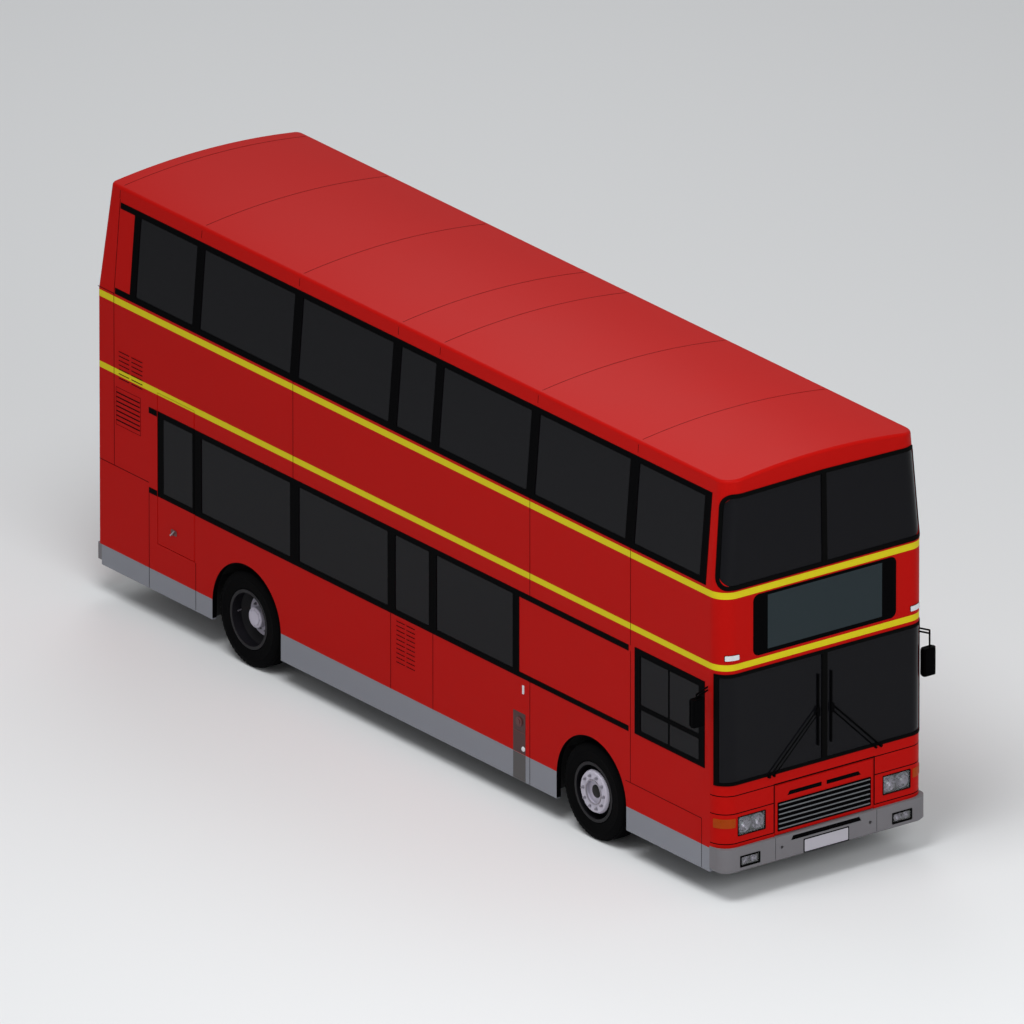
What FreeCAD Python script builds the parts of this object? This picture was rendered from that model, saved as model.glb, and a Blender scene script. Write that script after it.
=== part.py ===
import FreeCAD, Part
import math
import os

# Double deck bus, full size, in millimetres. +X points forward, +Y to the nearside, +Z up.
# Stations run forward from the rear panel and heights up from the ground; place() then moves every
# piece so that the origin lies on the ground under the middle of the whole bus.
V = FreeCAD.Vector

# Overall body
wheelbase = 5640.0
rear_overhang = 2450.0       # rear axle to rear panel
front_overhang = 2100.0      # front axle to front panel
body_length = rear_overhang + wheelbase + front_overhang
body_width = 2500.0
body_height = 4445.0
wall = 50.0
lean_start = 3240.0          # walls are upright below this height and lean inwards above it
side_lean = 80.0 / 960.0
rear_lean = 70.0 / 1010.0
front_lean = 22.0 / 910.0
front_radius = 190.0         # front corners in plan
rear_radius = 30.0           # rear corners in plan, at the waist
rear_top_radius = 80.0       # rear corners in plan, at the roof
roof_crown = 75.0            # rise of the roof over half of its width
shoulder_radius = 32.0       # roof to wall

# Panel joints
rear_module = 265.0
front_module = 190.0         # length of the front panels, back from the front face
skirt_top = 540.0
deck_joint = 2480.0
cant_rail = 4215.0
bumper_top = 563.0
gap = 6.0                    # running gap round doors and flaps
pin_gap = 0.3                # a pivot pin and its seat

# Glazing
glass_inset = 4.0
glass_thickness = 8.0
lower_sill = 1390.0
lower_head = 2190.0
upper_sill = 3320.0
upper_head = 4155.0
screen_bar = 26.0            # half the width of the bar between two windscreen panes
lower_screen_sill = 1240.0
lower_screen_head = 2345.0
lower_screen_wrap = 60.0     # degrees round the corner
upper_screen_sill = 3290.0
upper_screen_head = 4217.0
upper_screen_drop = 20.0     # fall of the upper screen's head from its middle to its outer end
upper_screen_margin = 24.0   # glass edge to body side
upper_screen_radius = 110.0

# Axles and wheels
tyre_radius = 500.0
tyre_width = 280.0
rim_radius = 286.0
rim_flange = 306.0
rim_wall = 12.0
wheel_face = 15.0            # tyre's outer wall, inboard of the body side
twin_gap = 35.0
front_hub_bore = 40.3
rear_hub_bore = 60.3
hub_clearance = 0.3
steer_lock = 40.0            # degrees each way
kingpin_inset = 300.0        # kingpin, inboard of the body side
kingpin_radius = 22.0
arch_radius = 565.0
arch_rise = 15.0             # arch centre above wheel centre
box_half = 620.0             # half length of an inner wheel box
box_shoulder = 260.0         # upright part of the wheel box above the wheel centre
box_top_half = 330.0
box_height = 610.0           # wheel box top above the wheel centre
box_inner = 600.0            # inner plate from the centreline
box_wall = 12.0
axle_slot_half = 130.0       # opening for the axle in a wheel box's inner plate

# Floors and chassis
floor_top = 640.0
floor_thickness = 40.0
rear_floor_top = 900.0
rear_floor_front = rear_overhang + 700.0
engine_bay_front = 840.0
platform_top = 345.0
platform_rear = body_length - 1470.0
cab_floor_top = 840.0
cab_floor_inner = 350.0      # inner edge of the cab floor, from the centreline
upper_floor_top = 2500.0
upper_floor_thickness = 60.0
stairwell_rear = rear_overhang + wheelbase - 1130.0
stairwell_front = rear_overhang + wheelbase + 410.0
stair_inner = 560.0          # inner edge of the stairs, from the centreline
rail_offset = 430.0
rail_width = 80.0
rail_height = 150.0
axle_tube_radius = 80.0

# Entrance on the nearside
door_rear = body_length - 1320.0
door_front = body_length - 220.0
door_head = 2255.0
leaf_thickness = 40.0
leaf_stile = 65.0
leaf_rail = 120.0

# Derived stations
half_width = body_width / 2
rear_axle = rear_overhang
front_axle = rear_overhang + wheelbase
axle_height = tyre_radius
front_zone = body_length - front_module
bumper_proud = 35.0
rear_bumper_proud = 30.0
origin_shift = (body_length + bumper_proud - rear_bumper_proud) / 2

os.makedirs("parts", exist_ok=True)


def block(x0, x1, y0, y1, z0, z1):
    return Part.makeBox(x1 - x0, y1 - y0, z1 - z0, V(x0, y0, z0))


def rod(start, end, radius):
    line = V(*end) - V(*start)
    return Part.makeCylinder(radius, line.Length, V(*start), line)


def prism(points, direction):
    corners = [V(*point) for point in points]
    return Part.Face(Part.makePolygon(corners + corners[:1])).extrude(V(*direction))


def turned(profile, station, height):
    """Solid of revolution about the wheel axis from (distance along y, radius) points."""
    corners = [V(station, y, height + radius) for y, radius in profile]
    face = Part.Face(Part.makePolygon(corners + corners[:1]))
    return face.revolve(V(station, 0, height), V(0, 1, 0), 360)


def fused(shapes):
    whole = shapes[0]
    if len(shapes) > 1:
        whole = whole.fuse(shapes[1:])
    return whole.removeSplitter()


def mirrored(shape):
    return shape.mirror(V(0, 0, 0), V(0, 1, 0))


def both_sides(shape):
    return [shape, mirrored(shape)]


def place(name, shapes):
    """Writes one node: its solids, moved to the bus's origin."""
    solids = []
    for shape in shapes:
        for solid in shape.Solids:
            moved = solid.copy()
            moved.translate(V(-origin_shift, 0, 0))
            solids.append(moved)
    Part.makeCompound(solids).exportStep("parts/" + name + ".step")


# ---------------------------------------------------------------- body envelope

def plan_wire(rear, front, half, rear_round, front_round, height):
    """Plan outline at one height: a rectangle with rounded corners."""
    corners = [
        # centre x, centre y, radius, start angle
        (front - front_round, -half + front_round, front_round, -90),
        (front - front_round, half - front_round, front_round, 0),
        (rear + rear_round, half - rear_round, rear_round, 90),
        (rear + rear_round, -half + rear_round, rear_round, 180),
    ]
    arcs = []
    for x, y, radius, start in corners:
        angles = [math.radians(start + turn) for turn in (0, 45, 90)]
        points = [V(x + radius * math.cos(a), y + radius * math.sin(a), height) for a in angles]
        arcs.append((Part.Arc(*points).toShape(), points[0], points[2]))
    edges = []
    for index, (arc, first, last) in enumerate(arcs):
        edges.append(arc)
        edges.append(Part.makeLine(last, arcs[(index + 1) % len(arcs)][1]))
    return Part.Wire(edges)


def envelope(inset):
    """The body's outer form, moved inwards by inset."""
    base = 200.0
    top = body_height + 60.0
    rise = top - lean_start
    half = half_width - inset
    nose_round = front_radius - inset
    tail_round = max(rear_radius - inset, 6.0)
    waist = plan_wire(inset, body_length - inset, half, tail_round, nose_round, lean_start)
    crown = plan_wire(inset + rise * rear_lean, body_length - inset - rise * front_lean,
                      half - rise * side_lean, rear_top_radius - inset, nose_round, top)
    upright = plan_wire(inset, body_length - inset, half, tail_round, nose_round, base)
    lower = Part.Face(upright).extrude(V(0, 0, lean_start - base))
    form = Part.makeLoft([waist, crown], True, True).fuse(lower).removeSplitter()
    crown_half = half_width - 160.0
    arc_radius = (crown_half ** 2 + roof_crown ** 2) / (2 * roof_crown)
    reach = half_width + 100.0
    peak = body_height - inset
    edge = peak - arc_radius + math.sqrt(arc_radius ** 2 - reach ** 2)
    start = -100.0
    arc = Part.Arc(V(start, -reach, edge), V(start, 0, peak), V(start, reach, edge)).toShape()
    sides = Part.makePolygon([V(start, reach, edge), V(start, reach, 0), V(start, -reach, 0),
                              V(start, -reach, edge)])
    section = Part.Face(Part.Wire([arc] + sides.Edges))
    form = form.common(section.extrude(V(body_length - 2 * start, 0, 0)))
    rim = [e for e in form.Edges if all(v.Z > cant_rail for v in e.Vertexes)]
    return form.makeFillet(max(shoulder_radius - inset, 4.0), rim)


outer_form = envelope(0.0)
inner_form = envelope(wall)
shell = outer_form.cut(inner_form)
glass_skin = envelope(glass_inset).cut(envelope(glass_inset + glass_thickness))


def side_of_body(height):
    """Half width of the body at a height."""
    return half_width - max(height - lean_start, 0) * side_lean


# ---------------------------------------------------------------- windows

bay_stretch = (body_length - rear_axle) / 7740.0


def along(station):
    """Stations ahead of the rear axle spread out with the length of the body."""
    if station < rear_axle:
        return station
    return rear_axle + (station - rear_axle) * bay_stretch


def bays_along(bays):
    return [(along(rear), along(front)) for rear, front in bays]


# Each window: rear end, front end
lower_bays = bays_along([(1700, 3180), (3310, 4780), (4887, 5455), (5560, 6820)])
upper_bays = bays_along([(610, 1560), (1670, 3170), (3290, 4780), (4900, 5480), (5590, 7030),
                         (7150, 8630), (8760, 9830)])
nearside_extra_bays = bays_along([(1070, 1575), (7150, 8630)])
driver_bay = (body_length - 1320, body_length - 360)
emergency_bay = (1070, 1575)


def bay_cutters(bays, side, sill, head):
    y0, y1 = (0, half_width + 50) if side > 0 else (-half_width - 50, 0)
    return [block(rear, front, y0, y1, sill, head) for rear, front in bays]


def bay_glass(cutters):
    return [glass_skin.common(cutter) for cutter in cutters]


offside_lower = bay_cutters(lower_bays + [driver_bay], -1, lower_sill, lower_head)
nearside_lower = bay_cutters(lower_bays + nearside_extra_bays, 1, lower_sill, lower_head)
upper_cutters = (bay_cutters(upper_bays, -1, upper_sill, upper_head)
                 + bay_cutters(upper_bays, 1, upper_sill, upper_head))
rear_light_half, rear_light_sill, rear_light_head = 800.0, 1560.0, 2150.0
rear_light = block(-50, rear_module, -rear_light_half, rear_light_half, rear_light_sill,
                   rear_light_head)


def lower_screen_cutters():
    edge = front_zone + front_radius * math.cos(math.radians(lower_screen_wrap))
    pane = block(edge, body_length + 100, screen_bar, half_width + 50,
                 lower_screen_sill, lower_screen_head)
    return both_sides(pane)


def upper_screen_cutters():
    low_edge = side_of_body(upper_screen_sill) - upper_screen_margin
    high_edge = side_of_body(upper_screen_head) - upper_screen_margin
    x = front_zone + 20.0
    pane = prism([(x, screen_bar, upper_screen_sill), (x, low_edge, upper_screen_sill),
                  (x, high_edge, upper_screen_head - upper_screen_drop),
                  (x, screen_bar, upper_screen_head)], (front_module + 100, 0, 0))
    outer = [e for e in pane.Edges if abs(e.Vertexes[0].X - e.Vertexes[1].X) > front_module
             and all(v.Y > high_edge - 1 for v in e.Vertexes)]
    return both_sides(pane.makeFillet(upper_screen_radius, outer))


lower_screens = lower_screen_cutters()
upper_screens = upper_screen_cutters()


# ---------------------------------------------------------------- wheel arches

def arch_cutter(station):
    """The opening in the body side over one wheel, cut through both sides."""
    height = axle_height + arch_rise
    round_part = Part.makeCylinder(arch_radius, body_width + 200,
                                   V(station, -half_width - 100, height), V(0, 1, 0))
    below = block(station - arch_radius, station + arch_radius, -half_width - 100,
                  half_width + 100, 0, height)
    return fused([round_part, below])


arches = [arch_cutter(rear_axle), arch_cutter(front_axle)]


def wheel_box_form(station, grow):
    """Outer form of one nearside wheel box, or its hollow when grow is negative."""
    top = axle_height + box_height + grow
    shoulder = axle_height + box_shoulder + grow
    half = box_half + grow
    low = 330.0
    profile = [(station - half, low), (station - half, shoulder), (station - box_top_half, top),
               (station + box_top_half, top), (station + half, shoulder), (station + half, low)]
    inner = box_inner - grow
    depth = half_width - wall - inner
    return prism([(x, inner, z) for x, z in profile], (0, depth, 0))


box_forms = []
wheel_boxes = []
for axle in (rear_axle, front_axle):
    form = wheel_box_form(axle, 0.0)
    hollow = wheel_box_form(axle, -box_wall)
    floorless = block(axle - box_half + box_wall, axle + box_half - box_wall,
                      box_inner + box_wall, half_width, 0, axle_height)
    axle_slot = block(axle - axle_slot_half, axle + axle_slot_half, box_inner - 10, half_width,
                      0, axle_height + axle_slot_half)
    box_forms += both_sides(form.copy())
    wheel_boxes += both_sides(form.cut([hollow, floorless, axle_slot]))


# ---------------------------------------------------------------- coachwork

def zone(x0, x1, z0, z1, side=0):
    """A box that picks one panel out of the shell; side limits it to one side of the bus."""
    y0 = -half_width - 50 if side <= 0 else 0
    y1 = half_width + 50 if side >= 0 else 0
    return block(x0, x1, y0, y1, z0, z1)


doorway = block(door_rear, door_front, half_width - 120, half_width + 50, platform_top, door_head)
emergency_rear, emergency_front = 975.0, 1600.0
emergency_sill, emergency_head = 835.0, 2440.0
emergency_hole = block(emergency_rear, emergency_front, -half_width - 50, -half_width + 120,
                       emergency_sill, emergency_head)

roof = shell.common(zone(-50, front_zone, cant_rail, body_height + 100))
upper_sides = shell.common(zone(rear_module, front_zone, deck_joint, cant_rail))
upper_sides = upper_sides.cut(upper_cutters)
lower_sides = shell.common(zone(rear_module, front_zone, skirt_top, deck_joint))
lower_sides = lower_sides.cut(offside_lower + nearside_lower + arches + [doorway, emergency_hole])
place("roof", [roof])
place("upper_side_panels", [upper_sides])
place("lower_side_panels", [lower_sides])

# Skirt panels: rear end, front end, bottom edge
skirts = [(wall, rear_axle, 325), (rear_axle, front_axle, 255), (front_axle, front_zone, 290)]
skirt_solids = []
door_step = block(door_rear, door_front, half_width - 120, half_width + 50, 0, door_head)
for rear, front, bottom in skirts:
    panel = shell.common(zone(rear, front, bottom, skirt_top)).cut(arches + [door_step])
    skirt_solids.append(panel)
place("skirt_panels", skirt_solids)

# Engine door and rear window openings
engine_door_half, engine_door_sill, engine_door_head = 880.0, 620.0, 1380.0
engine_hole = block(-50, wall + 50, -engine_door_half, engine_door_half,
                    engine_door_sill, engine_door_head)
rear_exit_half, rear_exit_sill, rear_exit_head = 620.0, 3330.0, 4080.0
rear_exit_hole = block(-50, rear_module, -rear_exit_half, rear_exit_half,
                       rear_exit_sill, rear_exit_head)
# Tail lamps: distance from the centreline, height, radius
tail_lamps = [(1110, 1010, 48), (1110, 1130, 48), (1110, 890, 48), (1110, 770, 42)]
tail_holes = []
for y, z, radius in tail_lamps:
    tail_holes += both_sides(rod((-50, y, z), (wall + 50, y, z), radius))
rear_lower = shell.common(zone(-50, rear_module, skirt_top, deck_joint))
rear_lower = rear_lower.cut([engine_hole, rear_light] + tail_holes)
rear_upper = shell.common(zone(-50, rear_module, deck_joint, cant_rail)).cut(rear_exit_hole)
place("rear_lower_panel", [rear_lower])
place("rear_upper_panel", [rear_upper])

# Openings in the front panels
face = body_length
flap_half, flap_top = 602.0, 1099.0
flap_hole = block(face - 100, face + 50, -flap_half, flap_half, 0, flap_top)
headlamp_inner, headlamp_outer, headlamp_low, headlamp_high = 713.0, 1053.0, 674.0, 876.0
headlamp_hole = block(face - 100, face + 50, headlamp_inner, headlamp_outer, headlamp_low,
                      headlamp_high)
turn_lamp_rear = front_zone + front_radius * math.cos(math.radians(75))
turn_lamp_inner, turn_lamp_low, turn_lamp_high = 1080.0, 772.0, 865.0
turn_lamp_hole = block(turn_lamp_rear, face + 50, turn_lamp_inner, half_width + 50, turn_lamp_low,
                       turn_lamp_high)
sign_half, sign_bottom, sign_top, sign_radius = 870.0, 2509.0, 3149.0, 70.0
sign_depth = 180.0
sign_form = block(face - sign_depth, face + 50, -sign_half, sign_half, sign_bottom, sign_top)
long_edges = [e for e in sign_form.Edges if abs(e.Vertexes[0].X - e.Vertexes[1].X) > 1]
sign_form = sign_form.makeFillet(sign_radius, long_edges)
front_lower = shell.common(zone(front_zone, face + 50, bumper_top, deck_joint))
front_lower = front_lower.cut(lower_screens + [flap_hole] + both_sides(headlamp_hole)
                              + both_sides(turn_lamp_hole))
front_upper = shell.common(zone(front_zone, face + 50, deck_joint, body_height + 100))
front_upper = front_upper.cut(upper_screens + [sign_form])
place("front_lower_panel", [front_lower])
place("front_upper_panel", [front_upper])

# Destination sign: a closed case behind the front panel's opening
sign_case = sign_form.common(block(face - sign_depth, face - 6, -half_width, half_width,
                                   sign_bottom, sign_top))
sign_inside = block(face - sign_depth + 12, face - 18, -sign_half + 40, sign_half - 40,
                    sign_bottom + 40, sign_top - 40)
place("destination_box", [sign_case.cut(sign_inside)])

# Glazing
windows = bay_glass(offside_lower + nearside_lower + upper_cutters + [rear_light])
place("side_windows", windows)
place("windscreens", bay_glass(lower_screens + upper_screens))

# Lamps
lamp_depth = 90.0
headlamp = headlamp_hole.common(block(face - lamp_depth, face - 3, 0, half_width, 0, body_height))
turn_skin = outer_form.cut(envelope(30.0))
turn_lamp = turn_skin.common(turn_lamp_hole)
fog_inner, fog_outer, fog_low, fog_high = 804.0, 1049.0, 357.0, 476.0
fog_hole = block(face - 40, face + 60, fog_inner, fog_outer, fog_low, fog_high)
fog_lamp = block(face - 40, face + bumper_proud - 8, fog_inner + pin_gap, fog_outer - pin_gap,
                 fog_low + pin_gap, fog_high - pin_gap)
lamps = both_sides(headlamp) + both_sides(turn_lamp) + both_sides(fog_lamp)
for y, z, radius in tail_lamps:
    lamps += both_sides(rod((2, y, z), (wall, y, z), radius))
place("lamps", lamps)

# Bumpers
bumper_bottom = 310.0
bumper_wall = 75.0
bumper_corner = 130.0
tow_eye_y, tow_eye_z, tow_eye_radius = 538.0, 447.0, 17.5
plan = plan_wire(0, face + bumper_proud, half_width + 3, rear_radius, bumper_corner,
                 bumper_bottom)
inner_plan = plan_wire(-10, face + bumper_proud - bumper_wall, half_width + 3 - wall,
                       rear_radius, bumper_corner - wall, bumper_bottom)
bumper_height = bumper_top - bumper_bottom
bumper = Part.Face(plan).extrude(V(0, 0, bumper_height))
bumper = bumper.cut(Part.Face(inner_plan).extrude(V(0, 0, bumper_height)))
bumper = bumper.common(zone(front_zone, face + 60, bumper_bottom, bumper_top))
air_slot = prism([(face - 10, -429, 491), (face - 10, 429, 491), (face - 10, 405, 539),
                  (face - 10, -405, 539)], (60, 0, 0))
tow_eye = rod((face - 60, tow_eye_y, tow_eye_z), (face + 60, tow_eye_y, tow_eye_z),
              tow_eye_radius)
bumper = bumper.cut([air_slot] + both_sides(fog_hole) + both_sides(tow_eye))
low_edges = [e for e in bumper.Edges if all(abs(v.Z - bumper_bottom) < 1 for v in e.Vertexes)
             and e.BoundBox.XMax > face + 20]
bumper = bumper.makeChamfer(22.0, low_edges)
bumper_seam = 617.0
seam_cut = block(face - 200, face + 100, bumper_seam - 1.5, bumper_seam + 1.5, 0, 700)
bumper = bumper.cut(both_sides(seam_cut))
rear_plan = plan_wire(-rear_bumper_proud, 5000, half_width, rear_radius, rear_radius, 372)
rear_inner = plan_wire(wall, 5100, half_width - wall, 6, rear_radius, 372)
rear_bumper = Part.Face(rear_plan).extrude(V(0, 0, skirt_top - 372))
rear_bumper = rear_bumper.cut(Part.Face(rear_inner).extrude(V(0, 0, skirt_top - 372)))
rear_bumper = rear_bumper.common(zone(-100, wall, 372, skirt_top))
place("bumpers", [bumper, rear_bumper])


# ---------------------------------------------------------------- doors and flaps

def pin(start, along, length, radius=8.0):
    """A pivot pin from a leaf's edge to just short of its seat."""
    direction = V(*along)
    return Part.makeCylinder(radius, length - pin_gap + 5, V(*start) - direction * 5, direction)


def door_leaf(hinge_x, free_x):
    """One entrance leaf, its hinge edge rounded about the pivot, with its pane."""
    y = half_width - wall / 2
    low, high = platform_top + gap + 1, door_head - gap
    edge_radius = leaf_thickness / 2
    rear, front = min(hinge_x, free_x), max(hinge_x, free_x)
    plate = block(rear, front, y - edge_radius, y + edge_radius, low, high)
    leaf = plate.fuse(rod((hinge_x, y, low), (hinge_x, y, high), edge_radius))
    pane_box = (rear + leaf_stile, front - leaf_stile, low + leaf_rail, high - leaf_rail)
    hole = block(pane_box[0], pane_box[1], y - 50, y + 50, pane_box[2], pane_box[3])
    pane = block(pane_box[0], pane_box[1], y - 4, y + 4, pane_box[2], pane_box[3])
    low_pin = pin((hinge_x, y, low), (0, 0, -1), low - platform_top)
    high_pin = pin((hinge_x, y, high), (0, 0, 1), door_head - high)
    return fused([leaf.cut(hole), low_pin, high_pin]), pane


leaf_pivot = gap + leaf_thickness / 2
door_middle = (door_rear + door_front) / 2
rear_leaf, rear_pane = door_leaf(door_rear + leaf_pivot, door_middle - gap / 2)
front_leaf, front_pane = door_leaf(door_front - leaf_pivot, door_middle + gap / 2)
place("rear_door_leaf", [rear_leaf])
place("front_door_leaf", [front_leaf])
place("rear_door_glass", [rear_pane])
place("front_door_glass", [front_pane])

# Emergency door on the offside, hinged at its front edge
hatch_edge = 22.0
hatch_y = -half_width + wall / 2
hatch_x = emergency_front - gap - hatch_edge
hatch_low, hatch_high = emergency_sill + gap, emergency_head - gap
hatch = block(emergency_rear + gap, hatch_x, hatch_y - hatch_edge, hatch_y + hatch_edge,
              hatch_low, hatch_high)
hatch = hatch.fuse(rod((hatch_x, hatch_y, hatch_low), (hatch_x, hatch_y, hatch_high), hatch_edge))
pane_rear, pane_front = emergency_bay[0], hatch_x - 10
hatch = hatch.cut(block(pane_rear, pane_front, -half_width - 50, -half_width + 100,
                        lower_sill, lower_head))
hatch = fused([hatch, pin((hatch_x, hatch_y, hatch_low), (0, 0, -1), gap),
               pin((hatch_x, hatch_y, hatch_high), (0, 0, 1), gap)])
place("emergency_door", [hatch])
place("emergency_door_glass", [block(pane_rear, pane_front, -half_width + glass_inset,
                                     -half_width + glass_inset + glass_thickness,
                                     lower_sill, lower_head)])


def lifting_flap(pivot_x, pivot_z, half, bottom, edge_radius):
    """A flap across the bus, hung at its top on two side pins, its top edge rounded."""
    width = half - gap
    plate = block(pivot_x - edge_radius, pivot_x + edge_radius, -width, width, bottom, pivot_z)
    top = rod((pivot_x, -width, pivot_z), (pivot_x, width, pivot_z), edge_radius)
    ends = both_sides(pin((pivot_x, width, pivot_z), (0, 1, 0), gap))
    return fused([plate, top] + ends)


flap_edge = 15.0
flap_pivot_x = face - flap_edge - 2
flap_pivot_z = flap_top - gap - flap_edge
place("grille_flap", [lifting_flap(flap_pivot_x, flap_pivot_z, flap_half, bumper_top + 8,
                                   flap_edge)])
engine_pivot_x = flap_edge + 2
engine_pivot_z = engine_door_head - gap - flap_edge
place("engine_door", [lifting_flap(engine_pivot_x, engine_pivot_z, engine_door_half,
                                   engine_door_sill + gap, flap_edge)])

# The upper deck's rear exit leans with the rear panel
exit_edge = 12.0
exit_pivot_z = rear_exit_head - gap - exit_edge - 4
lean_angle = math.degrees(math.atan(rear_lean))
rear_exit = lifting_flap(exit_edge + 4, exit_pivot_z, rear_exit_half, rear_exit_sill + gap + 4,
                         exit_edge)
rear_exit.rotate(V(0, 0, lean_start), V(0, 1, 0), lean_angle)
place("rear_emergency_window", [rear_exit])


# ---------------------------------------------------------------- floors and stairs

box_solids = fused(box_forms[:1]).fuse(box_forms[1:])
saloon_back = engine_bay_front
low_floor = zone(rear_floor_front, platform_rear, floor_top - floor_thickness, floor_top)
high_floor = zone(saloon_back, rear_floor_front, rear_floor_top - floor_thickness, rear_floor_top)
step_riser = zone(rear_floor_front - 30, rear_floor_front, floor_top - floor_thickness,
                  rear_floor_top)
bulkhead = zone(saloon_back - 30, saloon_back, 640, 1420)
shelf = zone(wall, saloon_back, 1400, 1430)
platform = zone(platform_rear, front_zone + 60, platform_top - floor_thickness, platform_top)
platform_riser = zone(platform_rear - 30, platform_rear, platform_top - floor_thickness,
                      floor_top)
cab_floor = block(platform_rear, front_zone + 60, -half_width, -cab_floor_inner,
                  platform_top, cab_floor_top)
cab_hollow = block(platform_rear + 30, front_zone, -half_width, -cab_floor_inner - 30,
                   platform_top, cab_floor_top - 40)
floor = fused([low_floor, high_floor, step_riser, bulkhead, shelf, platform, platform_riser,
               cab_floor.cut(cab_hollow)])
door_sill = block(door_rear, door_front, half_width - wall - 10, half_width,
                  platform_top - floor_thickness, platform_top)
floor = fused([floor.common(inner_form).cut(box_solids), door_sill])
place("lower_deck_floor", [floor])

upper_floor = zone(wall, face - sign_depth, upper_floor_top - upper_floor_thickness,
                   upper_floor_top).common(inner_form)
stair_hole = block(stairwell_rear, stairwell_front, -half_width, -stair_inner,
                   upper_floor_top - 200, upper_floor_top + 100)
place("upper_deck_floor", [upper_floor.cut(stair_hole)])

stair_steps = 8
stair_rise = (upper_floor_top - floor_top) / stair_steps
stair_front = platform_rear - 30
stair_going = (stair_front - stairwell_rear) / (stair_steps - 1)
side_string = 30.0
stairs = []
for step in range(1, stair_steps):
    x1 = stair_front - (step - 1) * stair_going
    tread_top = floor_top + step * stair_rise
    stairs.append(block(x1 - stair_going, x1, -half_width + wall, -stair_inner,
                        tread_top - 30, tread_top))
    stairs.append(block(x1 - 25, x1, -half_width + wall, -stair_inner,
                        max(floor_top, tread_top - stair_rise - 5), tread_top))
string_profile = [(stair_front, floor_top), (stair_front, floor_top + stair_rise),
                  (stairwell_rear, upper_floor_top - upper_floor_thickness),
                  (stairwell_rear, upper_floor_top - 2 * stair_rise)]
stairs.append(prism([(x, -stair_inner - side_string, z) for x, z in string_profile],
                    (0, side_string, 0)))
cab_back = block(stair_front, platform_rear, -half_width + wall, -cab_floor_inner,
                 floor_top, upper_floor_top - upper_floor_thickness)
staircase = fused(stairs + [cab_back]).cut([box_solids, stair_hole.common(upper_floor)])
place("staircase", [staircase.cut(cab_floor)])
place("wheel_boxes", wheel_boxes)


# ---------------------------------------------------------------- seats and cab

bench_width = 860.0
bench_outer = half_width - wall - 8.0
upper_bench_outer = bench_outer - 25.0   # the upper walls lean in
seat_pitch = 740.0


def bench(front, floor_height, cushion_height, side, outer=bench_outer):
    """A forward facing seat: pedestal, cushion and back in one solid."""
    y0, y1 = outer - bench_width, outer
    seat_top = floor_height + cushion_height
    middle = (y0 + y1) / 2
    profile = [(front, seat_top - 90), (front, seat_top), (front - 400, seat_top - 25),
               (front - 520, seat_top + 560), (front - 600, seat_top + 560),
               (front - 480, seat_top - 90)]
    seat = prism([(x, y0, z) for x, z in profile], (0, bench_width, 0))
    leg = block(front - 380, front - 150, middle - 200, middle + 200, floor_height,
                seat_top - 90)
    seat = fused([seat, leg])
    return seat if side > 0 else mirrored(seat)


seats = []
first_upper_row = 1020.0
upper_rows = 1 + int((face - 1020.0 - first_upper_row) / seat_pitch)
for row in range(upper_rows):
    front = first_upper_row + row * seat_pitch
    seats.append(bench(front, upper_floor_top, 430, 1, upper_bench_outer))
    if front < stairwell_rear or front - 620 > stairwell_front:
        seats.append(bench(front, upper_floor_top, 430, -1, upper_bench_outer))
lower_rows = 7
for row in range(lower_rows):
    front = rear_floor_front + 760.0 + row * seat_pitch - 60.0 * (row > 4)
    if front < front_axle - box_half - 10:
        seats.append(bench(front, floor_top, 430, 1))
    if front < front_axle - box_half - 10 and front < stairwell_rear - 10:
        seats.append(bench(front, floor_top, 430, -1))
# Rear raised floor: the row ahead of the bulkhead, and two rows on the wheel boxes
seats.append(bench(saloon_back + 640, rear_floor_top, 400, 1))
for front in (rear_axle - 20, rear_axle + 610):
    for side in (1, -1):
        width = half_width - wall - box_inner - 10
        y0 = bench_outer - width
        seat_top = axle_height + box_height + 130
        profile = [(front - 60, seat_top - 130), (front - 60, seat_top),
                   (front - 400, seat_top - 20), (front - 500, seat_top + 540),
                   (front - 560, seat_top + 540), (front - 460, seat_top - 130)]
        seat = prism([(x, y0, z) for x, z in profile], (0, width, 0))
        clear = wheel_box_form(rear_axle, pin_gap)
        seat = seat.cut(clear)
        seats.append(seat if side > 0 else mirrored(seat))

driver_y = -720.0
driver_front = face - 860.0
driver_top = cab_floor_top + 430.0
driver_profile = [(driver_front, driver_top - 110), (driver_front, driver_top),
                  (driver_front - 400, driver_top - 25), (driver_front - 500, driver_top + 760),
                  (driver_front - 590, driver_top + 760), (driver_front - 500, driver_top - 110)]
driver_seat = prism([(x, driver_y - 240, z) for x, z in driver_profile], (0, 480, 0))
driver_post = rod((driver_front - 250, driver_y, cab_floor_top),
                  (driver_front - 250, driver_y, driver_top - 100), 110)
seats.append(fused([driver_seat, driver_post]))
place("seats", seats)

# Dashboard with its steering column and wheel
dash_top, dash_inner = 1225.0, 250.0
dash_profile = [(face - 90, cab_floor_top), (face - 90, dash_top), (face - 330, dash_top),
                (face - 450, dash_top - 130), (face - 450, dash_top - 200),
                (face - 300, cab_floor_top)]
dash = prism([(x, -half_width, z) for x, z in dash_profile], (0, half_width - dash_inner - 100, 0))
dash = dash.common(inner_form)
column_foot = V(face - 360, driver_y, dash_top - 120)
wheel_centre = V(face - 600, driver_y, dash_top + 130)
column_line = wheel_centre - column_foot
column = Part.makeCylinder(32, column_line.Length, column_foot, column_line)
wheel_rim = Part.makeTorus(225, 15, wheel_centre, column_line)
wheel_hub = Part.makeCylinder(55, 30, wheel_centre - column_line.normalize() * 20, column_line)
spoke = rod(tuple(wheel_centre - V(0, 222, 0)), tuple(wheel_centre + V(0, 222, 0)), 11)
place("dashboard", [fused([dash, column, wheel_rim, wheel_hub, spoke])])


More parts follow.
